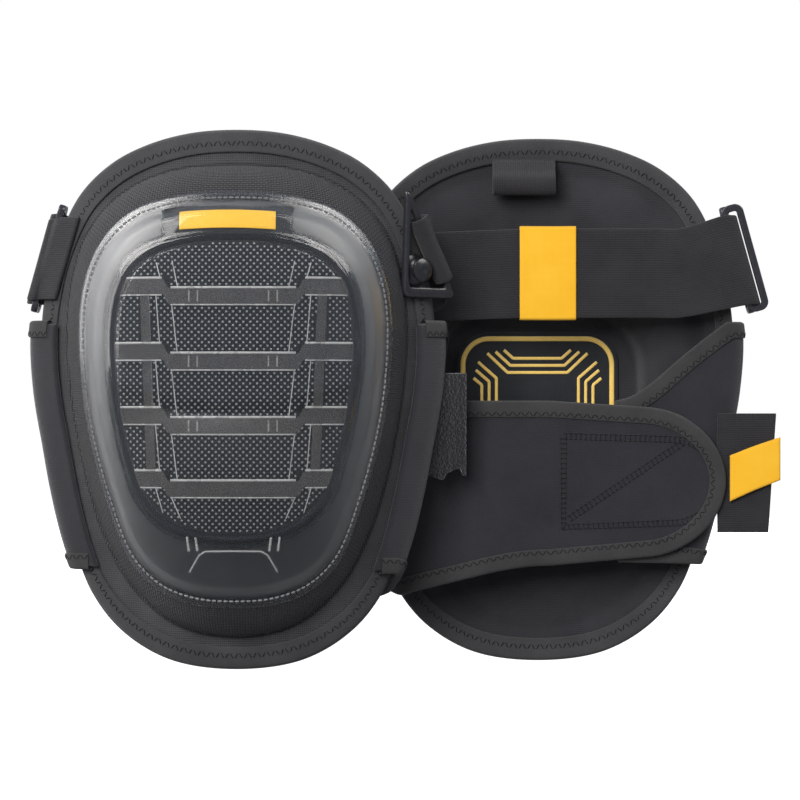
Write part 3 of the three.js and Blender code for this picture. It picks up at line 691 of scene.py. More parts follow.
WEAVE, TWILL, KNIT = weave_height, twill_height, knit_height
M = {
    "clear": clear_plastic("clear_plastic", (238, 241, 245), 0.995, 0.05),
    "ribs": clear_plastic("clear_ribs", (172, 166, 160), 0.9, 0.16),
    # pale, half-clear plastic: real on the fine ribs, a painted glint on the lines along the ribs' edges
    "pale_ribs_and_glints": clear_plastic("pale_ribs_and_painted_glints", (216, 212, 206), 0.42, 0.3),
    "backing": textile("cap_backing", WEAVE, (0.5, 0.5), (8, 10, 14), (18, 21, 27), 0.03),
    "cover": textile("cover_weave", WEAVE, (1.4, 1.4), (26, 25, 27), (64, 62, 64), 0.55),
    # painted light: a lighter copy of the cover's cloth, so that the flange reads pale where the raised binding
    # and the dome's wall shade it
    "flange": textile("flange_weave_painted_light", WEAVE, (1.1, 1.1), (50, 49, 51), (88, 86, 88), 0.35),
    "grip": textile("grip_base", WEAVE, (0.8, 0.8), (7, 7, 8), (18, 18, 20), 0.2),
    "liner": textile("liner_knit", KNIT, (0.9, 1.0), (40, 39, 42), (64, 63, 66), 0.14, 0.25),
    "binding": textile("binding_tape", TWILL, (0.9, 0.9), (48, 47, 48), (78, 76, 77), 0.16),
    "neoprene": textile("neoprene_face", KNIT, (0.8, 0.9), (34, 33, 37), (53, 52, 56), 0.12, 0.3, 0.45),
    "tape": textile("edge_tape", TWILL, (0.8, 0.8), (44, 42, 42), (72, 70, 70), 0.16),
    "elastic": textile("elastic_weave", WEAVE, (0.75, 1.1), (34, 33, 35), (58, 56, 58), 0.2),
    "yellow": textile("yellow_ribbon", WEAVE, (0.55, 0.55), (240, 172, 28), (255, 202, 66), 0.06, 0.1, 0.1),
    "dark_thread": textile("dark_thread", TWILL, (0.5, 0.5), (24, 24, 25), (48, 47, 49), 0.1),
    "cap_thread": textile("cap_thread", TWILL, (0.5, 0.5), (120, 119, 119), (186, 184, 182), 0.1),
    "dots": moulded("grip_dots", (158, 158, 158), 0.5),
    "black": moulded("black_plastic", (38, 38, 41), 0.22),
    "badge": moulded("badge_plastic", (20, 20, 21), 0.7),
    "badge_yellow": moulded("badge_yellow", (252, 190, 30), 0.5, 0.05, (255, 210, 80)),
    "print": moulded("raised_print", (252, 198, 84), 0.55, 0.06, (255, 220, 130)),
    "panel": textile("panel_cloth", WEAVE, (0.6, 0.6), (36, 37, 39), (56, 57, 60), 0.08),
    "foam": foam_material(),
    "gel": gel_material(),
    "pile": pile_material(),
}


# ---- Placing ----
def pad_frame(side):
    """From a pad's own frame, in metres, to the row's frame, found from where its knee panel lies."""
    low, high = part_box(f"{side}_knee_panel")
    middle = (low + high) / 2
    turned = side == "right"
    leg_side = low.y if turned else high.y
    turn = Matrix.Rotation(math.pi if turned else 0, 4, "Z")
    inner = Matrix.Translation(Vector((0, -PANEL_BACK, -PANEL_MIDDLE)) * MM)
    return Matrix.Translation((middle.x, leg_side, middle.z)) @ turn @ inner


PAD_FRAMES = {side: pad_frame(side) for side in SIDES}


def row_point(side, point):
    return PAD_FRAMES[side] @ (Vector(point) * MM)


def linked(name, data):
    thing = bpy.data.objects.new(name, data)
    bpy.context.scene.collection.objects.link(thing)
    return thing


def evaluated(piece):
    return piece.evaluated_get(bpy.context.evaluated_depsgraph_get())


def modified(mesh, kind, **settings):
    """The mesh that a modifier makes of another."""
    piece = linked("worked", mesh)
    modifier = piece.modifiers.new("modifier", kind)
    for key, value in settings.items():
        setattr(modifier, key, value)
    made = bpy.data.meshes.new_from_object(evaluated(piece))
    bpy.data.objects.remove(piece)
    return made


def place(side, name, mesh, material, slot, body="pad", replaces=(), shift=0, bends=None):
    """Puts a copy of a pad-frame mesh on one pad, riding on a body; given bends, it instead stays fixed where it
    is placed.
    """
    copy = mesh.copy()
    copy.transform(PAD_FRAMES[side] @ Matrix.Translation((shift * MM, 0, 0)))
    piece = linked(f"{side}_{name}", copy)
    copy.materials.clear()
    copy.materials.append(M[material])
    if bends:
        other, start, end = bends
        row_point(side, start)
        row_point(side, end)
        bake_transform(piece)
    else:
        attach(piece, f"{side}_{body}")
    if replaces:
        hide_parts(*(f"{side}_{n}" for n in replaces))
    return piece


def both(name, mesh, material, slot, **how):
    """The same piece on each pad."""
    return [place(side, name, mesh, material, slot, **how) for side in SIDES]


# ---- Cloth simulation ----
PUFF_FRAMES = 14


def puffed(mesh, held, pressure=5.0, limit=1.6):
    """Inflates a mesh between the points that are held, and caps how far a point may move, in mm."""
    piece = linked("simulated", mesh)
    scene = bpy.context.scene
    group = piece.vertex_groups.new(name="held")
    for index in np.flatnonzero(held):
        group.add([int(index)], 1.0, "REPLACE")
    cloth = piece.modifiers.new("cloth", "CLOTH")
    cloth.settings.effector_weights.gravity = 0
    cloth_settings = {
        "quality": 4, "vertex_group_mass": "held", "use_pressure": True, "uniform_pressure_force": pressure,
        "bending_stiffness": 0.4, "tension_stiffness": 12, "compression_stiffness": 12,
    }
    for key, value in cloth_settings.items():
        setattr(cloth.settings, key, value)
    for step in range(1, PUFF_FRAMES + 1):
        scene.frame_set(step)
    rest, moved = (corners_of(m) for m in (mesh, evaluated(piece).data))
    travel = moved - rest
    far = np.linalg.norm(travel, axis=1, keepdims=True)
    travel *= np.minimum(1, limit / np.maximum(far, 1e-6))
    bpy.data.objects.remove(piece)
    mesh.vertices.foreach_set("co", ((rest + travel) * MM).astype(np.float32).ravel())
    mesh.update()
    scene.frame_set(1)
    return mesh


def corners_of(mesh):
    """A mesh's points in mm."""
    co = np.zeros(len(mesh.vertices) * 3, np.float32)
    mesh.vertices.foreach_get("co", co)
    return co.reshape(-1, 3).astype(float) / MM


def padded_shell(name, rings, depth, towards, held, thickness):
    """A layer of cloth puffed between the places that its seams hold, its thickness behind its face."""
    points = surface(rings, depth, 300)
    mesh = grid_mesh(name, points, spread_uv(points), round_rows=True)
    if sum(p.normal.y * p.area for p in mesh.polygons) * towards < 0:
        mesh.flip_normals()
    x, _, z = corners_of(mesh).T
    mesh = modified(puffed(mesh, held(x, z)), "SOLIDIFY", thickness=thickness * MM, offset=-1)
    mesh.shade_smooth()
    return mesh


# ---- Padded body: cover, foam, gel and liner ----
COVER_EDGE = 0.955
GEL_POCKET = 11.6


def make_cover():
    def held(x, z):
        groove = np.abs(DOME.share(x, z) - 1) < 0.006
        return (CAP.share(x, z) < 1.01) | groove | (PAD.share(x, z) > 0.93)

    rings = [
        (WINDOW, 0.97, 10, 1), (CAP, 1, 10, 1), (DOME, 0.94, 7, 1), (DOME, 1, 9, 2), (PAD, COVER_EDGE, 9, 1),
    ]
    return padded_shell("cover", rings, cover_depth, -1, held, COVER_THICK)


def make_liner():
    def held(x, z):
        groove = np.abs(DOME.share(x, z) - 1) < 0.012
        return (KNEE_RECESS.share(x, z) < 1) | groove | (PAD.share(x, z) > 0.93)

    rings = [
        (KNEE_RECESS, 0.97, 10, 1), (KNEE_RECESS, 1.12, 6, 1), (DOME, 0.84, 8, 1), (DOME, 1, 10, 1),
        (PAD, COVER_EDGE, 8, 1),
    ]
    return padded_shell("liner", rings, liner_depth, 1, held, LINER_THICK)


def make_foam():
    def under(x, z):
        pocket = GEL_POCKET * (1 - smooth(0.6, 0.7, KNEE_RECESS.share(x, z)))
        return liner_depth(x, z) - LINER_THICK - GAP - pocket

    rings = [(WINDOW, 0.97, 10, 1), (DOME, 0.9, 10, 1), (DOME, 0.935, 4, 1)]
    front = surface(rings, lambda x, z: cover_depth(x, z) + COVER_THICK + GAP, 200)
    return slab("foam", front, surface(rings, under, 200), 0.8)


def make_gel(layer):
    middle = KNEE_FLAT - LINER_THICK - GEL_POCKET + 2.5 + layer * 5.4
    rings = [(KNEE_RECESS, 0.5, 12, 1), (KNEE_RECESS, 0.55, 5, 2)]

    def face(sign):
        def depth(x, z):
            past = np.clip(KNEE_RECESS.share(x, z) - 0.5, 0, 1) / 0.055
            return middle + sign * (0.9 + 1.6 * np.sqrt(np.clip(1 - past**2, 0, 1)))

        return surface(rings, depth, 160)

    return slab(f"gel_{layer}", face(-1), face(1), 0.6)


def make_binding():
    """Tape folded over the flange's edge, in a rounded C section."""
    angle = turns(360)
    front, back, lip, edge = -1.7, LINER_BACK + 1.7, 0.915, 0.958
    middle, half = (front + back) / 2, (back - front) / 2
    outer = [(1, -2.2 + 2.2 * math.cos(a), middle - half * math.sin(a)) for a in np.linspace(1.35, -1.35, 11)]
    section = [
        (lip, 0.1, front + 0.55), (lip, 0, front + 0.1), (lip, 0.8, front - 0.1),
        (0.955, 0, front - 0.05), *outer, (0.955, 0, back + 0.05),
        (lip, 0.8, back + 0.1), (lip, 0, back - 0.1), (lip, 0.1, back - 0.55),
        (edge, 0.6, back - 0.9), (edge, 0.6, front + 0.9),
    ]
    columns = []
    for share, inset, depth in section:
        x, z = polar(PAD.radius(angle) * share + inset, angle)
        columns.append(np.stack([x, flange_depth(x, z) + depth, z], -1))
    return grid_mesh("binding", np.stack(columns, 1), round_rows=True, round_columns=True)


def ring_path(outline, share, depth):
    """A closed path at a share of an outline, with the surface's normals towards the front."""
    angle = turns(720)
    x, z = polar(outline.radius(angle) * share, angle)
    return on(depth, x, z), outward(depth, x, z)


# ---- Clear cap, ribs, grip fabric and badge ----
def make_cap():
    rings = [
        (WINDOW, 0.94, 12, 1), (WINDOW, 1.06, 14, 1), (CAP, CAP_WALL[0], 9, 1),
        (CAP, CAP_WALL[1], 8, 1), (CAP, 0.985, 4, 1), (CAP, 1, 4, 1),
    ]
    x, z = radial(rings, 300)
    rounding = 0.7 * (1 - np.sqrt(1 - np.clip((CAP.share(x, z) - 0.985) / 0.0151, 0, 1) ** 2))
    front = np.stack([x, cap_depth(x, z) + rounding, z], -1)
    back = np.stack([x, cap_depth(x, z) + CAP_THICK - rounding, z], -1)
    mesh = slab("cap", front, back, 0.25)
    x, _, z = corners_of(mesh).T
    band = smooth(1.02, 1.08, WINDOW.share(x, z)) * (1 - 0.6 * smooth(0.94, 0.96, CAP.share(x, z)))
    over_badge = 1 - smooth(29.6, 31.4, np.abs(x - BADGE_X))
    over_badge *= smooth(75, 77, z) * (1 - smooth(89.4, 91.2, z))
    haze = (band * (1 - over_badge)).astype(np.float32)
    mesh.attributes.new("haze", "FLOAT", "POINT").data.foreach_set("value", haze)
    return mesh


RIB_LEVELS = (48, 17.5, -12.5, -42)
RIB_HALF = 3.6
SIDE_RIB_RISE = 4.6
RIB_STEP = (30, 33)
POST_X = 41.5
POST_HALF = 2.2
POST_LEAN = 3.5
RIB_REACH = 0.965


def rib_place(a, b):
    """Where a grid line's crossing lies: side ribs step up, posts lean in, and ends meet the window."""
    z = b + SIDE_RIB_RISE * smooth(*RIB_STEP, np.abs(a))
    top, bottom = RIB_LEVELS[0], RIB_LEVELS[-1]
    lean = POST_LEAN * np.clip((top - b) / (top - bottom), 0, 1)
    lean = lean * smooth(34, 39, np.abs(a)) * (1 - smooth(44.5, 56, np.abs(a)))
    x = np.sign(a) * np.minimum(np.abs(a) - lean, WINDOW.half_width(z) * RIB_REACH)
    return x, z


def make_ribs():
    """The ribs and posts as one solid, from the cells of a grid that they fill."""
    half = [*np.linspace(0, 29, 10), *np.linspace(30, 33, 5), 36]
    half += [POST_X - POST_HALF, POST_X, POST_X + POST_HALF, 47, 51, 55, 60]
    a = np.array([-v for v in half[:0:-1]] + half)
    b, level_row = [], []
    for n, level in enumerate(RIB_LEVELS):
        b += [level + RIB_HALF, level, level - RIB_HALF]
        level_row += [True, True, False]
        if n < 3:
            b += list(np.linspace(level - RIB_HALF, RIB_LEVELS[n + 1] + RIB_HALF, 7)[1:-1])
            level_row += [False] * 5
    x, z = rib_place(a[:, None], np.array(b)[None])
    front = np.stack([x, cap_depth(x, z) + CAP_THICK + GAP, z], -1)
    back = np.stack([x, cover_depth(x, z) - 2.0, z], -1)
    used = set()
    for i in range(len(a) - 1):
        post = abs(abs((a[i] + a[i + 1]) / 2) - POST_X) < POST_HALF
        for j in range(len(b) - 1):
            wide = abs(x[i + 1, j] - x[i, j]) + abs(x[i + 1, j + 1] - x[i, j + 1]) > 0.2
            if wide and (level_row[j] or post):
                used.add((i, j))
    corners, index, faces = [], {}, []

    def corner(place, side):
        if (place, side) not in index:
            index[place, side] = len(corners)
            corners.append(tuple((front, back)[side][place] * MM))
        return index[place, side]

    for i, j in sorted(used):
        ring = [(i, j), (i + 1, j), (i + 1, j + 1), (i, j + 1)]
        faces.append([corner(c, 0) for c in ring])
        faces.append([corner(c, 1) for c in ring[::-1]])
        beside = [(i, j - 1), (i + 1, j), (i, j + 1), (i - 1, j)]
        for cell, c, d in zip(beside, ring, ring[1:] + ring[:1]):
            if cell not in used:
                faces.append([corner(d, 0), corner(c, 0), corner(c, 1), corner(d, 1)])
    mesh = bpy.data.meshes.new("ribs")
    mesh.from_pydata(corners, [], faces)
    bevel = {"width": 0.55 * MM, "segments": 2, "limit_method": "ANGLE", "harden_normals": True}
    return modified(tidy(mesh), "BEVEL", **bevel)


def fine_bar(places, width, height):
    """A thin clear rib on the cap's inner face, through places on the front view."""
    t = np.linspace(0, 1, 6 * len(places))
    x, z = read_at(t, np.linspace(0, 1, len(places)), np.array(places, float)).T
    path = np.stack([x, cap_depth(x, z) + CAP_THICK + GAP + height / 2, z], -1)
    return tube("bar", path, width / 2, height / width)


def make_fine_ribs():
    """Thin pale lines: the ribs' edges, where they are painted glints, the bars beside the posts and the foot's
    outline.
    """
    bars = []

    def pair(places, width, height):
        for side in (-1, 1):
            bars.append(fine_bar([(side * x, z) for x, z in places], width, height))

    tops = (70.5, *[v - RIB_HALF for v in RIB_LEVELS])
    bottoms = (*[v + RIB_HALF for v in RIB_LEVELS], -59)
    for top, bottom in zip(tops, bottoms):
        for outer, lean in ((36, 1.8), (28.5, 2.6)):
            rise = SIDE_RIB_RISE if outer > RIB_STEP[1] else 0
            low = (outer - lean, bottom + rise + 0.8)
            if bottom < -50:
                low = (outer - lean - 1.5, -57 + 0.33 * (outer - 25))
            pair([(outer, min(top + rise, 68 - 0.1 * outer) - 0.8), low], 0.5, 1.4)
    for level in RIB_LEVELS[:3]:
        for x in (16.5, 20.5):
            pair([(x, level + 2.6), (x, level - 2.6)], 0.8, 1.2)
    for x in (17.5, 21.5):
        pair([(x, -64.5), (x - 0.8, -71)], 1.1, 1.4)
    pair([(13, -71.2), (16, -73), (20.5, -81)], 0.8, 1.0)
    bars.append(fine_bar([(-13, -71.2), (0, -71), (13, -71.2)], 0.8, 1.0))
    # painted glints: a pale line along each rib's upper and lower edge
    for level in RIB_LEVELS:
        for sign, width in ((1, 1.15), (-1, 0.7)):
            edge = level + sign * (RIB_HALF + 0.45)
            bars.append(fine_bar([(-29, edge), (0, edge), (29, edge)], width, 1.2))
            rise = edge + SIDE_RIB_RISE
            pair([(33.5, rise), (WINDOW.half_width(rise) * RIB_REACH - 0.6, rise)], width, 1.2)
    return joined("fine_ribs", bars)


def make_grip():
    rings = [(WINDOW, 0.5, 6, 1), (WINDOW, 0.97, 10, 1)]
    front = surface(rings, lambda x, z: cover_depth(x, z) - 1.5, 200)
    back = surface(rings, lambda x, z: cover_depth(x, z) - 0.6, 200)
    return slab("grip", front, back, 0.2)


DOT_PITCH = 3.2
DOT_ROW = 1.6


def under_rib(x, z):
    """Whether a place lies under one of the ribs or posts, where the fabric shows no dots."""
    step = SIDE_RIB_RISE * (abs(x) > RIB_STEP[0])
    if any(abs(z - level - step) < RIB_HALF + 0.6 for level in RIB_LEVELS):
        return True
    between = RIB_LEVELS[-1] < z < RIB_LEVELS[0]
    lean = POST_LEAN * (RIB_LEVELS[0] - z) / (RIB_LEVELS[0] - RIB_LEVELS[-1])
    return between and abs(abs(x) - POST_X + lean) < POST_HALF + 0.5


def make_dots():
    """Raised dots in staggered rows on the grip fabric."""
    places = []
    for n, z in enumerate(np.arange(-68, 80, DOT_ROW)):
        for x in np.arange(-19, 19) * DOT_PITCH + (n % 2) * DOT_PITCH / 2:
            if WINDOW.share(x, z) < 0.955 and not under_rib(x, z):
                places.append((x, z))
    x, z = np.array(places).T
    out = outward(cover_depth, x, z)
    side = unit(np.cross(out, np.broadcast_to((0.0, 0.0, 1.0), out.shape)))
    frames = np.stack([out, side, np.cross(out, side)], 1)
    template = lathe([(-0.15, 0), (-0.15, 0.6), (0.18, 0.52), (0.32, 0)], 7)
    return stamped("dots", template, np.stack([x, cover_depth(x, z) - 1.48, z], -1), frames)


def badge_face(half, low, high, above, thick, arch=0.0):
    def point(t, s):
        t, s = np.broadcast_arrays(t, s)
        x = BADGE_X + mix(-half, half, t)
        z = mix(low, high, s) + arch * (1 - (2 * t - 1) ** 2)
        return np.stack([x, cover_depth(x, z) - above, z], -1)

    return strip("badge", point, thick, 40, 8)[0]


# ---- Neoprene wings and wrap ----
WING_TOP = 36
WING_INSET = 11
WING_LIFT = 3.6
WING_ROUND = 8
WING_INNER_X = -38
TAB_TIP_X = -89
TAB_MIDDLE = -40
TAB_HALF = 32
TAB_NOSE = 36


def wing_points(side, z, back_plane, inner_x):
    """The plan line's points at heights z, from the front seam round the edge to the back plane."""
    rim = PAD.half_width(z)
    seam = over_flange(rim - WING_INSET, z, WING_LIFT)
    turn = over_flange(rim, z, WING_LIFT)
    edge = turn[..., 0] + 0.6
    far = side * (edge - WING_ROUND)
    plan = [
        (side * seam[..., 0], seam[..., 1]), (side * turn[..., 0], turn[..., 1]),
        (side * edge, (turn[..., 1] + back_plane) / 2), (side * (edge - 2), back_plane - 3),
        (far, back_plane), ((far + inner_x) / 2, back_plane), (inner_x, back_plane),
    ]
    return np.stack([np.stack([x + 0 * z, y + 0 * z], -1) for x, y in plan])


def wing_point(side, back_plane, inner_x, low, high):
    def point(t, s):
        t, s = np.broadcast_arrays(t, s)
        z = mix(low(t), high(t), s)
        plan = spline_at(wing_points(side, z, back_plane, inner_x), t)
        return np.stack([plan[..., 0], plan[..., 1], z], -1)

    return point


def loop_wing_grid():
    point = wing_point(
        -1, WING_DEPTH, WING_INNER_X,
        lambda t: mix(-80, -78, t), lambda t: WING_TOP - 38 * smooth(0.62, 1, t),
    )
    return strip_grid(point, 60, 40, NEOPRENE / 2)


def round_ended(start, nose_start, nose, steps):
    """X from a start to a round end's tip, and how far each is into the round end."""
    straight = np.linspace(start, nose_start, steps[0])
    round_end = nose_start - nose * np.sin(np.linspace(0, math.pi / 2, steps[1])[1:])
    x = np.concatenate([straight, round_end])[:, None]
    return x, np.sqrt(np.maximum(1e-4, 1 - np.clip((nose_start - x) / nose, 0, 1) ** 2))


def wrap_grid(slack):
    """The wrap from its front seam round the side, across the back, and out to the tab's round tip."""
    main = wing_point(
        1, WRAP_DEPTH, WRAP_HINGE_X + slack,
        lambda t: -82 - 12 * smooth(0.1, 0.6, t) + 14.5 * smooth(0.6, 1, t),
        lambda t: WING_TOP - 38.5 * smooth(0.45, 0.8, t),
    )
    x, closing = (v[1:] for v in round_ended(WRAP_HINGE_X, TAB_TIP_X + TAB_NOSE, TAB_NOSE, (22, 26)))
    t = (x - WRAP_HINGE_X) / (TAB_TIP_X - WRAP_HINGE_X)
    s = stops(34, 70, NEOPRENE / 2)[None]
    z = mix(-41, TAB_MIDDLE, t) + mix(38.5, TAB_HALF, t) * closing * (2 * s - 1)
    tab = np.stack([x + slack + 0 * z, WRAP_DEPTH + 0 * z, z], -1)
    t_main = np.concatenate([stops(60, 200, NEOPRENE / 2)[:-4], [1.0]])
    return np.concatenate([main(t_main[:, None], s), tab])


def rim_of(grid):
    """The path round a grid's upper edge, its far end and its lower edge, with inward and normals."""

    def round_rim(values, across=0):
        return np.concatenate([values[6:, -1 - across], values[6:, across][::-1]])

    path, normal = round_rim(grid), unit(round_rim(normals_of(grid)))
    inward = unit(np.cross(normal, unit(np.gradient(path, axis=0))))
    flip = np.sign(np.sum(inward * (round_rim(grid, 5) - path), -1, keepdims=True))
    flip[flip == 0] = 1
    middle = len(path) // 2
    flip[middle - 8:middle + 8] = np.sign(np.median(flip[middle - 30:middle + 30]))
    return path, inward * flip, normal


def even_path(path, inward, normal):
    """The same rim at even steps, so that its section sweeps smoothly."""
    reach = reach_of(path)
    place = np.linspace(0, reach[-1], int(reach[-1] / 2))
    return read_at(place, reach, path), *(unit(read_at(place, reach, v)) for v in (inward, normal))


# ---- Upper strap, ring and clip ----
RING_BAR = 1.8
STRAP_RISE = 6.5
RING_LOW = np.array((-102.5, 0, STRAP_LOW + STRAP_RISE))
RING_HIGH = np.array((-90.5, 0, STRAP_HIGH + STRAP_RISE))
RING_OUTER_DEPTH = 98.6
RING_INNER_DEPTH = 85.6
FRAME_REACH = 7.4
FOLD = RING_BAR + 1.7 + WEBBING / 2
STUD_X = 83
STUD_Z = 61.5
CLIP_HEIGHT = 4.2
CLIP_CORNERS = np.array([(-9, -11), (21.5, -11.5), (-7, 37)], float)
BAR_SHARES = (0.14, 0.77)  # the stretch of the clip's long bar that the strap takes up
CLIP_MIDDLE = CLIP_CORNERS.mean(0)
CLIP_OUTER = 1.12
CLIP_INNER = 0.8
CLIP_THICK = 3


def ring_x(z, pull):
    return pull + mix(RING_LOW[0], RING_HIGH[0], (z - RING_LOW[2]) / (RING_HIGH[2] - RING_LOW[2]))


def stud_axes():
    """The stud's place and its axes: along the flange, up, and out of it."""
    slope = STUD_X / math.sqrt(SIDE_RADIUS**2 - STUD_X**2)
    out = unit(np.array((slope, -1.0, 0.0)))
    along = unit(np.array((1.0, slope, 0.0)))
    return over_flange(STUD_X, STUD_Z, 1.4), np.stack([along, (0.0, 0.0, 1.0), out])


STUD_PLACE, STUD_AXES = stud_axes()


def at_stud(points):
    """From the stud's own axes to the pad's frame."""
    return STUD_PLACE + np.asarray(points, float) @ STUD_AXES


def clip_bar_point(share):
    size = (CLIP_OUTER + CLIP_INNER) / 2
    corner = mix(CLIP_CORNERS[1], CLIP_CORNERS[2], share)
    return at_stud((*(CLIP_MIDDLE + (corner - CLIP_MIDDLE) * size), CLIP_HEIGHT))


def strap_line(z, bar_share, swing, pull):
    """The upper strap's line at a height: from the clip's bar, across the back, round the ring and back."""
    low, high = (clip_bar_point(share) for share in BAR_SHARES)
    out = STUD_AXES[2]
    inward = unit(np.cross(high - low, out))
    if inward[0] > 0:
        inward = -inward
    fold = 3.4 + WEBBING / 2
    base = clip_bar_point(bar_share)
    hook = [base + inward * fold * math.cos(a) + out * fold * math.sin(a) for a in (2.2, 1.2, 0, -1.2, -2.2)]
    raised = z + STRAP_RISE
    turn = folded_over(ring_x(raised, pull), RING_OUTER_DEPTH, FOLD, raised, (0, 45, 90, 135, 180))
    across = [(x, STRAP_DEPTH, z) for x in (86, 0, -56)]
    back = [(x, RETURN_DEPTH, z) for x in (-56, -30, 6)]
    return [*hook, swing, *across, (-68, STRAP_DEPTH - 0.4, z), *turn, (-68, RETURN_DEPTH + 0.5, z), *back]


def make_strap(pull):
    low = strap_line(STRAP_LOW, BAR_SHARES[0], (100, 101, 46), pull)
    high = strap_line(STRAP_HIGH, BAR_SHARES[1], (92, 95.5, 88), pull)
    return strip("strap", ruled(low, high), WEBBING, 170, 16)


def folded_over(bar, depth, fold, z, angles):
    """Places of a webbing's fold round a bar, as seen from above."""
    return [(bar - fold * math.sin(a), depth - fold * math.cos(a), z) for a in np.radians(angles)]


def make_ring_tab(pull):
    def line(z):
        seam = 9 - PAD.half_width(z)
        fold = RING_BAR + 1.2 + WEBBING / 2
        turn = folded_over(ring_x(z, pull), RING_INNER_DEPTH, fold, z, (20, 60, 100, 140, 185))
        return [over_flange(seam, z, 3.6), over_flange(seam - 9, z, 3.8), *turn]

    return strip("ring_tab", ruled(line(RING_LOW[2] + 1.5), line(RING_HIGH[2] - 3)), WEBBING, 60, 14)


def rounded_loop(width, height, radius, steps=9):
    """Points round a rounded rectangle, anticlockwise."""
    places = []
    for cx, cz, first in ((1, -1, -90), (1, 1, 0), (-1, 1, 90), (-1, -1, 180)):
        for angle in np.radians(np.linspace(first, first + 90, steps)):
            x = cx * (width / 2 - radius) + radius * math.cos(angle)
            places.append((x, cz * (height / 2 - radius) + radius * math.sin(angle)))
    return np.array(places)


def make_ring(pull, turned_back):
    """A plastic ring along the strap's slanted end: one window for webbing, one outside the strap's fold."""
    length = np.linalg.norm(RING_HIGH - RING_LOW) + 5
    depth = RING_OUTER_DEPTH - RING_INNER_DEPTH
    along = unit(RING_HIGH - RING_LOW)
    back = np.array((0, 1.0, 0))
    outward = np.cross(along, back)
    fold = (RING_HIGH + RING_LOW) / 2 + (pull, RING_OUTER_DEPTH, 0)
    windows = []
    swung, face = (back, outward) if turned_back else (outward, back)
    for reach, towards, across, thick in ((depth, -back, outward, 3.2), (FRAME_REACH, swung, face, 3.35)):
        loop = rounded_loop(length, reach, 2.6)
        path = fold + towards * reach / 2 + loop[:, :1] * along + loop[:, 1:] * towards
        windows.append(squared_tube("ring", path, across, 2 * RING_BAR - 0.1, thick))
    return joined("ring", windows)


def squared(power):
    """The sides of a softened square section, each from -1 to 1, as two rows."""
    angle = turns(20)
    return [np.sign(v) * np.abs(v) ** power for v in (np.cos(angle), np.sin(angle))]


def squared_tube(name, path, across, width, thick):
    """A closed bar with a softened square section: width within the loop's plane, thick across it."""
    tangent = unit(np.roll(path, -1, 0) - np.roll(path, 1, 0))
    side = unit(np.cross(tangent, across))
    a, b = (v[None, :, None] / 2 for v in squared(0.42))
    points = path[:, None] + side[:, None] * a * width + across * b * thick
    return grid_mesh(name, points, round_rows=True, round_columns=True)


def make_keeper():
    """A ribbon sewn into a band round both layers of the strap."""
    height = STRAP_HIGH - STRAP_LOW + 1.9
    depth = RETURN_DEPTH - STRAP_DEPTH + 4.1
    loop = rounded_loop(height, depth, 1.5, 7)
    middle = np.array((0, (STRAP_DEPTH + RETURN_DEPTH) / 2, (STRAP_LOW + STRAP_HIGH) / 2))
    x = np.concatenate([RIM_STEPS - 13.75, np.linspace(-12.75, 12.75, 22), 13.75 - RIM_STEPS[::-1]])
    out = unit(loop * (0.05, 1))
    rows = []
    for place in x:
        wave = 0.12 * np.sin(loop[:, :1] * 0.21 + 0.5) * math.cos(place * 0.2)
        around = loop + out * wave
        rows.append(middle + np.stack([np.full(len(loop), place), around[:, 1], around[:, 0]], -1))
    centre = np.stack(rows)
    outward_way = unit((centre - middle) * (0, 1, 0.04))
    half = 0.5 * rounded_half(x + 13.75, 27.5, 1.0)[:, None, None]
    uv = plain_uv(np.concatenate([x, x[::-1]]), reach_of(loop))
    points = np.concatenate([centre + outward_way * half, (centre - outward_way * half)[::-1]])
    return grid_mesh("keeper", points, uv, round_rows=True, round_columns=True)


def clip_loop(size, rounding, steps=14):
    """Points round the clip's triangle at a size, its corners rounded by a share of each edge."""
    corners = CLIP_MIDDLE + (CLIP_CORNERS - CLIP_MIDDLE) * size
    places = []
    for i, corner in enumerate(corners):
        before = mix(corner, corners[(i + 2) % 3], rounding)
        after = mix(corner, corners[(i + 1) % 3], rounding)
        for t in np.linspace(0, 1, steps):
            places.append((1 - t) ** 2 * before + 2 * t * (1 - t) * corner + t * t * after)
        following = mix(corners[(i + 1) % 3], corner, rounding)
        places += [mix(after, following, t) for t in np.linspace(0, 1, 12)[1:-1]]
    return np.array(places)


def make_clip():
    """A triangular hoop of glossy plastic, its bars rounded, thicker at the stud's corner."""
    outer, inner = clip_loop(CLIP_OUTER, 0.12), clip_loop(CLIP_INNER, 0.1)
    a, b = squared(0.6)
    flat = (outer + inner)[:, None] / 2 + (outer - inner)[:, None] / 2 * a[None, :, None]
    height = np.broadcast_to(CLIP_HEIGHT + b * CLIP_THICK / 2, flat.shape[:2])[..., None]
    return grid_mesh("clip", at_stud(np.concatenate([flat, height], -1)), round_rows=True, round_columns=True)


def make_stud():
    """A mushroom stud on a round base."""
    profile = [
        (0.6, 0), (0.6, 7.6), (0.9, 8), (1.3, 8), (1.6, 7.6), (1.9, 5), (2.3, 3.4), (3, 3), (6.3, 3),
        (6.6, 3.4), (6.75, 5.3), (7.1, 5.8), (7.7, 5.9), (8.2, 5.5), (8.8, 4.2), (9.15, 2.4), (9.2, 1.6),
        (9.0, 0.9), (8.95, 0),
    ]
    return stamped("stud", lathe(profile, 40), STUD_PLACE[None], STUD_AXES[[2, 0, 1]][None])


# ---- Small webbing pieces ----
LOOP_X = 7
LOOP_HALF = 15.5


def make_hang_loop():
    def line(x):
        places = [
            (118, 3.6), (112, 4.6), (107, 9.5), (103.5, 13), (101, 17.5), (102.5, 21), (107, 20),
            (112, 13.5), (117, 7),
        ]
        return [(x, float(flange_depth(x, z)) + LINER_BACK + out, z) for z, out in places]

    return strip("hang_loop", ruled(line(LOOP_X - LOOP_HALF), line(LOOP_X + LOOP_HALF)), WEBBING, 60, 12)


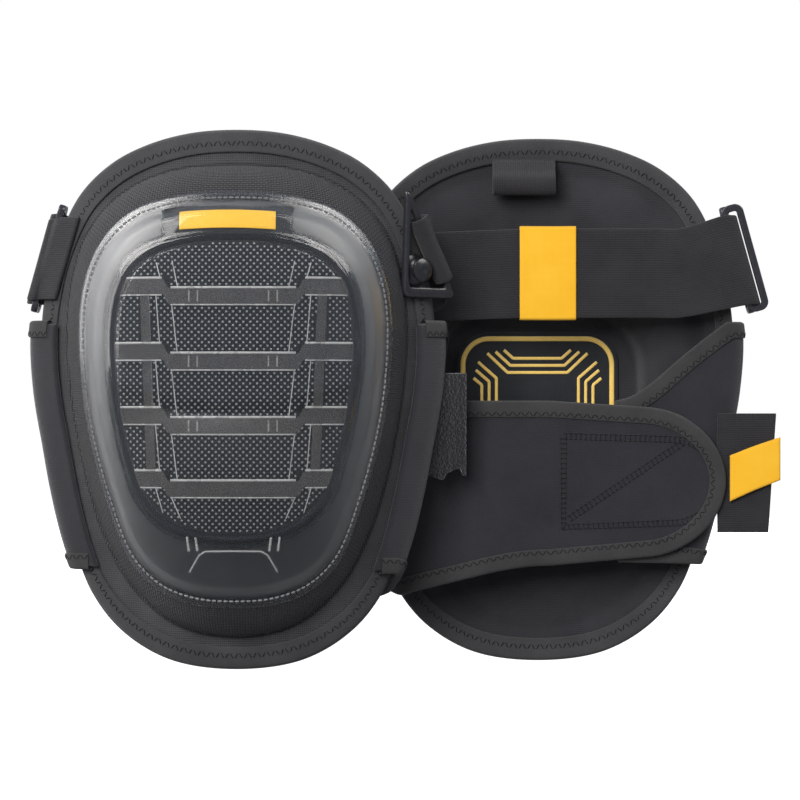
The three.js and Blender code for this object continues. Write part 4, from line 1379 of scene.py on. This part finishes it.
def make_tail():
    depth = WRAP_DEPTH - NEOPRENE / 2 - 0.75

    def line(z, tip):
        return [
            (-86.5, depth, z), (-97, depth, z), (tip + 2, depth, z), (tip + 0.4, depth - 0.6, z),
            (tip + 2, depth - 1.2, z), (-106, depth - 1.2, z),
        ]

    return strip("tail", ruled(line(-65, -111.5), line(-7, -115.3)), 0.9, 50, 16)


def make_pull_tab():
    def line(root, tip):
        return [
            (-92.5, WRAP_DEPTH + 0.2, root), (-104, WRAP_DEPTH + 0.5, (root + tip) / 2),
            (-117.2, WRAP_DEPTH - 0.3, tip),
        ]

    return strip("pull_tab", ruled(line(-50, -39.5), line(-27.5, -18.5)), 2.2, 26, 14)


def make_loop_flap():
    """The flap sewn to the wrap's outer edge, its lower end notched where the webbing was trimmed."""
    def point(t, s):
        t, s = np.broadcast_arrays(t, s)
        notch = 3.2 * smooth(0.5, 0.6, t) * (1 - smooth(0.86, 0.92, t)) + 1.2 * np.sin(9 * t)
        z = mix(-38, 12.5, s) + notch * (1 - s)
        root = PAD.half_width(z) + NEOPRENE / 2 - 0.6
        return np.stack([mix(root, 110, t), 84.5 + 9 * t**0.8, z], -1)

    return strip("loop_flap", point, 2.4, 30, 40)


# ---- Knee panel and its print ----
PANEL_WIDTH, PANEL_LOW, PANEL_HIGH, PANEL_CORNER = 80, -52, 33, 16


def panel_loop(inset):
    loop = rounded_loop(PANEL_WIDTH - 2 * inset, PANEL_HIGH - PANEL_LOW - 2 * inset, PANEL_CORNER - inset, 14)
    return loop + (0, PANEL_MIDDLE)


def make_panel():
    """A padded cloth panel with rounded corners, its face on the CAD panel's own flat face."""

    def row(loop, depth):
        return np.stack([loop[:, 0], np.full(len(loop), depth), loop[:, 1]], -1)

    edges = [(0, PANEL_BACK - 1.1), (0, PANEL_BACK - 0.45), (0.25, PANEL_BACK - 0.1), (0.8, PANEL_BACK)]
    rows = [row(panel_loop(inset), depth) for inset, depth in edges]
    centre = np.array((0, PANEL_MIDDLE))
    for share in (0.8, 0.5, 0.2, 0):
        rows.append(row(mix(centre, panel_loop(0), share), PANEL_BACK))
    grid = np.stack([row(np.broadcast_to(centre, (len(rows[0]), 2)), PANEL_BACK - 1.1), *rows])
    return grid_mesh("panel", grid, grid[..., (0, 2)], round_columns=True)


def print_line(places, width, closed=False):
    """A raised line of print on the panel."""
    corners = np.array([*places, places[0]] if closed else places, float)
    reach = reach_of(corners)
    x, z = read_at(np.linspace(0, reach[-1], max(8, int(reach[-1] / 0.8))), reach, corners).T
    path = np.stack([x, np.full_like(x, PANEL_BACK - 0.05), z], -1)
    return tube("line", path[:-1] if closed else path, width / 2, 0.45, closed)


def make_print():
    """A rounded frame with nested lines at its top and sides, a plain pattern of channels."""
    lines = [print_line(panel_loop(3.2), 2.6, True)]
    for n in range(3):
        half, reach, low, high = 14.8 - 1.4 * n, 24.8 - 4.1 * n, 13.1 + 3.5 * n, 22.6 + 0.8 * n
        lines.append(print_line([(-reach, high), (-half, low), (half, low), (reach, high)], 1.6))
        for side in (-1, 1):
            upright, bend = side * (20.3 + 3.6 * n), 10.3 - 1.7 * n
            tip = (side * (29.4 + 1.1 * n), 18.3 - 4 * n)
            lines.append(print_line([tip, (upright, bend), (upright, -38 + 3 * n)], 1.6))
    return joined("print", lines)


# ---- Building both pads ----
def cloth_piece(sides, name, made, material, slot, held, rests_on=(), **how):
    mesh, grid = made
    flat = (lengths(grid, 1)[-1] * MM, lengths(grid, 0)[-1] * MM)
    for side in sides:
        piece = place(side, name, mesh, material, slot, **how)


def paint_cover(side, piece):
    """Gives the cover its plain dark backing under the clear cap, and on the flange a lighter copy of its cloth,
    painted lighter against the shade there.
    """
    centres = np.zeros(len(piece.data.polygons) * 3, np.float32)
    piece.data.polygons.foreach_get("center", centres)
    home = np.array(PAD_FRAMES[side].inverted())
    x, _, z = (centres.reshape(-1, 3) @ home[:3, :3].T + home[:3, 3]).T / MM
    for name in ("backing", "flange"):
        piece.data.materials.append(M[name])
    # index 2 is the flange's cloth, painted lighter as painted light
    index = np.where(CAP.share(x, z) < 0.97, 1, np.where(DOME.share(x, z) > 1.012, 2, 0))
    piece.data.polygons.foreach_set("material_index", index.astype(np.int32))


def build_body():
    padded = (
        ("cover", make_cover(), "cover", "cover_fabric", "body_cover", 0.8),
        ("liner", make_liner(), "liner", "liner_fabric", "inner_liner", 0.6),
        ("foam", make_foam(), "foam", "foam", "foam_core", 1.0),
        ("gel_firm", make_gel(0), "gel", "gel", "gel_firm_layer", 1.0),
        ("gel_soft", make_gel(1), "gel", "gel", "gel_soft_layer", 1.0),
    )
    for name, mesh, material, slot, replaced, fill in padded:
        for side, piece in zip(SIDES, both(name, mesh, material, slot, replaces=(replaced,))):
            if name == "cover":
                paint_cover(side, piece)
    both("binding", make_binding(), "binding", "binding_tape", replaces=("edge_binding",))
    rows = []
    for depth, sign in ((-1.85, 1), (LINER_BACK + 1.85, -1)):
        path, normal = ring_path(PAD, 0.948, lambda x, z: flange_depth(x, z) + depth)
        rows.append(stitches("binding", path, normal * sign, 2.2, 2.8, 0.27, 62, closed=True))
    both("binding_stitches", joined("binding_stitches", rows), "dark_thread", "binding_tape")


def build_front():
    both("clear_cap", make_cap(), "clear", "clear_plastic", replaces=("cap_shell",))
    both("clear_ribs", make_ribs(), "ribs", "clear_plastic", replaces=("cap_ribs",))
    both("rib_edges", make_fine_ribs(), "pale_ribs_and_glints", "clear_plastic")
    both("grip_fabric", make_grip(), "grip", "dotted_fabric", replaces=("grip_mesh",))
    both("grip_dots", make_dots(), "dots", "dotted_fabric")
    plate = badge_face(30, 76.8, 89.6, 1.1, 0.9)
    both("badge", plate, "badge", "black_plastic", replaces=("badge_plate",))
    mark = badge_face(22.5, 79.2, 87.4, 2.2, 0.6, 0.8)
    both("badge_mark", mark, "badge_yellow", "yellow_webbing", replaces=("badge_bar",))
    seam = stitches("cap_stitches", *ring_path(CAP, 0.966, cap_depth), 2.7, 2.1, 0.5, lift=0.2, closed=True)
    both("cap_stitches", seam, "cap_thread", "clear_plastic")


def build_back():
    both("panel", make_panel(), "panel", "printed_fabric", replaces=("knee_panel",))
    both("panel_print", make_print(), "print", "printed_fabric")
    for side in SIDES:
        pull = PULL[side]
        cloth_piece([side], "elastic_strap", make_strap(pull), "elastic", "elastic", "stretched",
                    ("loop_ring", "clip"), replaces=("upper_strap", "strap_end"))
        cloth_piece([side], "ring_webbing", make_ring_tab(pull), "elastic", "elastic", "folded",
                    ("loop_ring",), replaces=("ring_tab",))
        ring = make_ring(pull, TURNED_BACK[side])
        place(side, "loop_ring", ring, "black", "black_plastic", replaces=("strap_ring",))
    both("keeper", make_keeper(), "yellow", "yellow_webbing", body="keeper", replaces=("strap_keeper",),
         shift=KEEPER_X)
    both("clip", make_clip(), "black", "black_plastic", body="clip", replaces=("slip_clip",))
    both("stud", make_stud(), "black", "black_plastic", replaces=("clip_stud",))
    cloth_piece(SIDES, "webbing_loop", make_hang_loop(), "elastic", "elastic", "folded", ("liner",),
                replaces=("hang_loop",), bends=("loop", (LOOP_X, 66, 118.6), (LOOP_X, 66, 112)))
    cloth_piece(SIDES, "pile_flap", make_loop_flap(), "pile", "hook_tape", "hung", replaces=("loop_flap",))


def zigzag_rim(name, rim):
    """A zigzag row on a taped edge's face and on its back."""
    path, inward, normal = rim
    rows = [stitches(name, path + inward * 4.7, normal * sign, 2.0, 2.8, 0.27, 52, 2.35) for sign in (1, -1)]
    return joined(name, rows)


def build_wings():
    grid = loop_wing_grid()
    cloth_piece(SIDES, "side_wing", (cloth_solid("loop_wing", grid, NEOPRENE), grid), "neoprene", "neoprene",
                "stretched", ("binding",), replaces=("loop_wing",))
    rim = even_path(*rim_of(grid))
    both("side_wing_tape", edge_tape("tape", *rim), "tape", "binding_tape")
    both("side_wing_stitches", zigzag_rim("wing_stitches", rim), "dark_thread", "binding_tape")
    for side in SIDES:
        build_wrap(side, SLACK[side])


def build_wrap(side, slack):
    grid = wrap_grid(slack)
    hinge = WRAP_HINGE_X - 0.6 + slack
    bends = ("wrap_end", (hinge + 10, 102.7, -40), (hinge - 10, 102.7, -40))
    cloth_piece([side], "wrap", (cloth_solid("wrap", grid, NEOPRENE), grid), "neoprene", "neoprene", "stretched",
                ("side_wing", "hook_patch_cloth"), replaces=("wrap_main", "wrap_tab"), bends=bends)
    rim = even_path(*rim_of(grid))
    place(side, "wrap_tape", edge_tape("tape", *rim), "tape", "binding_tape", bends=bends)
    place(side, "wrap_stitches", zigzag_rim("wrap_stitches", rim), "dark_thread", "binding_tape", bends=bends)
    end = {"body": "wrap_end", "shift": slack}
    cloth_piece([side], "hook_patch_cloth", patch_mesh(), "pile", "hook_tape", "laid", ("wrap",),
                replaces=("hook_patch",), **end)
    place(side, "patch_stitches", patch_stitching(), "dark_thread", "hook_tape", **end)
    cloth_piece([side], "tail", make_tail(), "elastic", "elastic", "folded", ("wrap",),
                replaces=("elastic_tail",), **end)
    root = -91.9 + slack
    bends = ("pull", (root, 102.7, -38), (root - 4, 102.7, -38))
    cloth_piece([side], "pull", make_pull_tab(), "yellow", "yellow_webbing", "hung", ("wrap",),
                replaces=("pull_tab",), bends=bends, **end)


PATCH_START, PATCH_TIP, PATCH_SEAM = -10, -84.5, -88
PATCH_HIGH, PATCH_LOW, PATCH_NOSE, PATCH_HALF = -16.5, -64, 24, 22


def patch_outline(inset):
    """The line sewn round the hook patch, closed, with its round end near the tab's tip."""
    start, nose = PATCH_START - inset, PATCH_NOSE - inset
    end = PATCH_SEAM + inset + nose
    half_start, half_tip = (PATCH_HIGH - PATCH_LOW) / 2 - inset, PATCH_HALF - inset
    middle = (PATCH_HIGH + PATCH_LOW) / 2
    arc = [
        (end - nose * math.sin(a), TAB_MIDDLE + half_tip * math.cos(a)) for a in np.linspace(0, math.pi, 24)
    ]
    return [(start, middle + half_start), *arc, (start, middle - half_start), (start, middle + half_start)]


def patch_mesh():
    """The hook patch under the tab."""
    x, closing = round_ended(PATCH_START, PATCH_TIP + PATCH_NOSE, PATCH_NOSE, (24, 18))
    t = (x - PATCH_START) / (PATCH_TIP - PATCH_START)
    half = mix((PATCH_HIGH - PATCH_LOW) / 2, PATCH_HALF, t) * closing
    s = stops(20, 44, 0.4)[None]
    z = mix((PATCH_HIGH + PATCH_LOW) / 2, TAB_MIDDLE, t) + half * (2 * s - 1)
    depth = WRAP_DEPTH - NEOPRENE / 2 - 0.8
    grid = np.stack([x + 0 * z, depth + 0 * z, z], -1)
    return cloth_solid("patch", grid, 0.8), grid


def ladder(places, half):
    """Two rows of stitches with rungs between them, beside a line on the tab's face."""
    path = np.array([(x, WRAP_DEPTH + NEOPRENE / 2, z) for x, z in places], float)
    normal = np.broadcast_to((0.0, 1.0, 0.0), path.shape)
    aside = unit(np.cross(normal, np.gradient(path, axis=0)))
    rails = [stitches("rail", path + aside * side, normal, 2.4, 2.0, 0.3) for side in (-half, half)]
    return [*rails, stitches("rungs", path, normal, 2.4, 2 * half, 0.28, 90)]


def patch_stitching():
    """The ladder of stitches that shows through the tab round the patch and across it."""
    low, high = np.array((-14, -58.5)), np.array((-70, -21))
    across = [mix(low, high, t) for t in np.linspace(0, 1, 12)]
    return joined("patch_stitches", [*ladder(patch_outline(1.6), 1.4), *ladder(across, 1.4)])


# ---- Camera, floor and lights ----
def aim(thing, target):
    thing.rotation_mode = "QUATERNION"
    thing.rotation_quaternion = (Vector(target) - thing.location).to_track_quat("-Z", "Y")


def lamp(name, location, size, watts, tint=(1, 1, 1)):
    data = bpy.data.lights.new(name, "AREA")
    data.shape = "RECTANGLE"
    data.size, data.size_y = size
    data.energy = watts
    data.color = tint
    thing = linked(name, data)
    thing.location = location
    aim(thing, (0.078, 0.03, 0.0))
    return thing


WORLD_LIGHT = (0.27, 0.3, 0.35, 1)
WARM = (1, 0.97, 0.93)


def floor_material():
    """A pale floor, as bright to the camera as the backdrop, that still takes a faint shadow."""
    white, grey = (1, 1, 1, 1), (0.3, 0.3, 0.3, 1)
    material, tree, shader = blank(
        "floor", Roughness=0.9, Base_Color=grey, Specular_IOR_Level=0.0, Emission_Color=white
    )
    seen = node(tree, "ShaderNodeLightPath").outputs["Is Camera Ray"]
    plug(tree, span(tree, seen, 0, 1, 0, 0.97), shader, "Emission Strength")
    return material


def build_stage():
    camera = linked("camera", bpy.data.cameras.new("camera"))
    camera.location = (0.078, -2.558, 0.009)
    aim(camera, (0.078, 0, 0.009))
    camera.data.lens = 241.6
    camera.data.sensor_width = 36
    bpy.context.scene.camera = camera
    floor = bpy.data.meshes.new("floor")
    corners = [(30 * x, 30 * y, CAD_BOX[0].z - 0.004) for x, y in ((-1, -1), (1, -1), (1, 1), (-1, 1))]
    floor.from_pydata(corners, [], [(0, 1, 2, 3)])
    floor.materials.append(floor_material())
    linked("floor", floor)
    world = bpy.data.worlds.new("studio")
    bpy.context.scene.world = world
    world.use_nodes = True
    tree = world.node_tree
    seen = node(tree, "ShaderNodeLightPath").outputs["Is Camera Ray"]
    plug(tree, shaded(tree, seen, WORLD_LIGHT, (1, 1, 1, 1)), tree.nodes["Background"], "Color")
    cards = (
        ("left_key", (-1.78, -0.12, 1.6), (1.5, 1.5), 34),
        ("left_top", (-1.2, -0.6, 2.0), (1.1, 1.1), 15),
        ("left_wall", (-2.0, 0.35, 0.9), (2.2, 2.0), 32),
        ("right_key", (1.78, -0.12, 1.6), (1.4, 1.4), 30),
        ("right_top", (1.2, -0.6, 2.0), (1.1, 1.1), 13),
    )
    for name, location, size, watts in cards:
        lamp(name, location, size, watts, WARM).visible_diffuse = False
    for name, location in (("front_fill", (-0.8, -2.9, 1.1)), ("back_fill", (0.9, 3.0, 1.1))):
        fill = lamp(name, location, (1.6, 1.6), 108)
        fill.visible_glossy = False
        fill.visible_transmission = False
    bpy.context.scene.view_settings.view_transform = "Standard"


build_stage()
build_body()
build_front()
build_back()
build_wings()
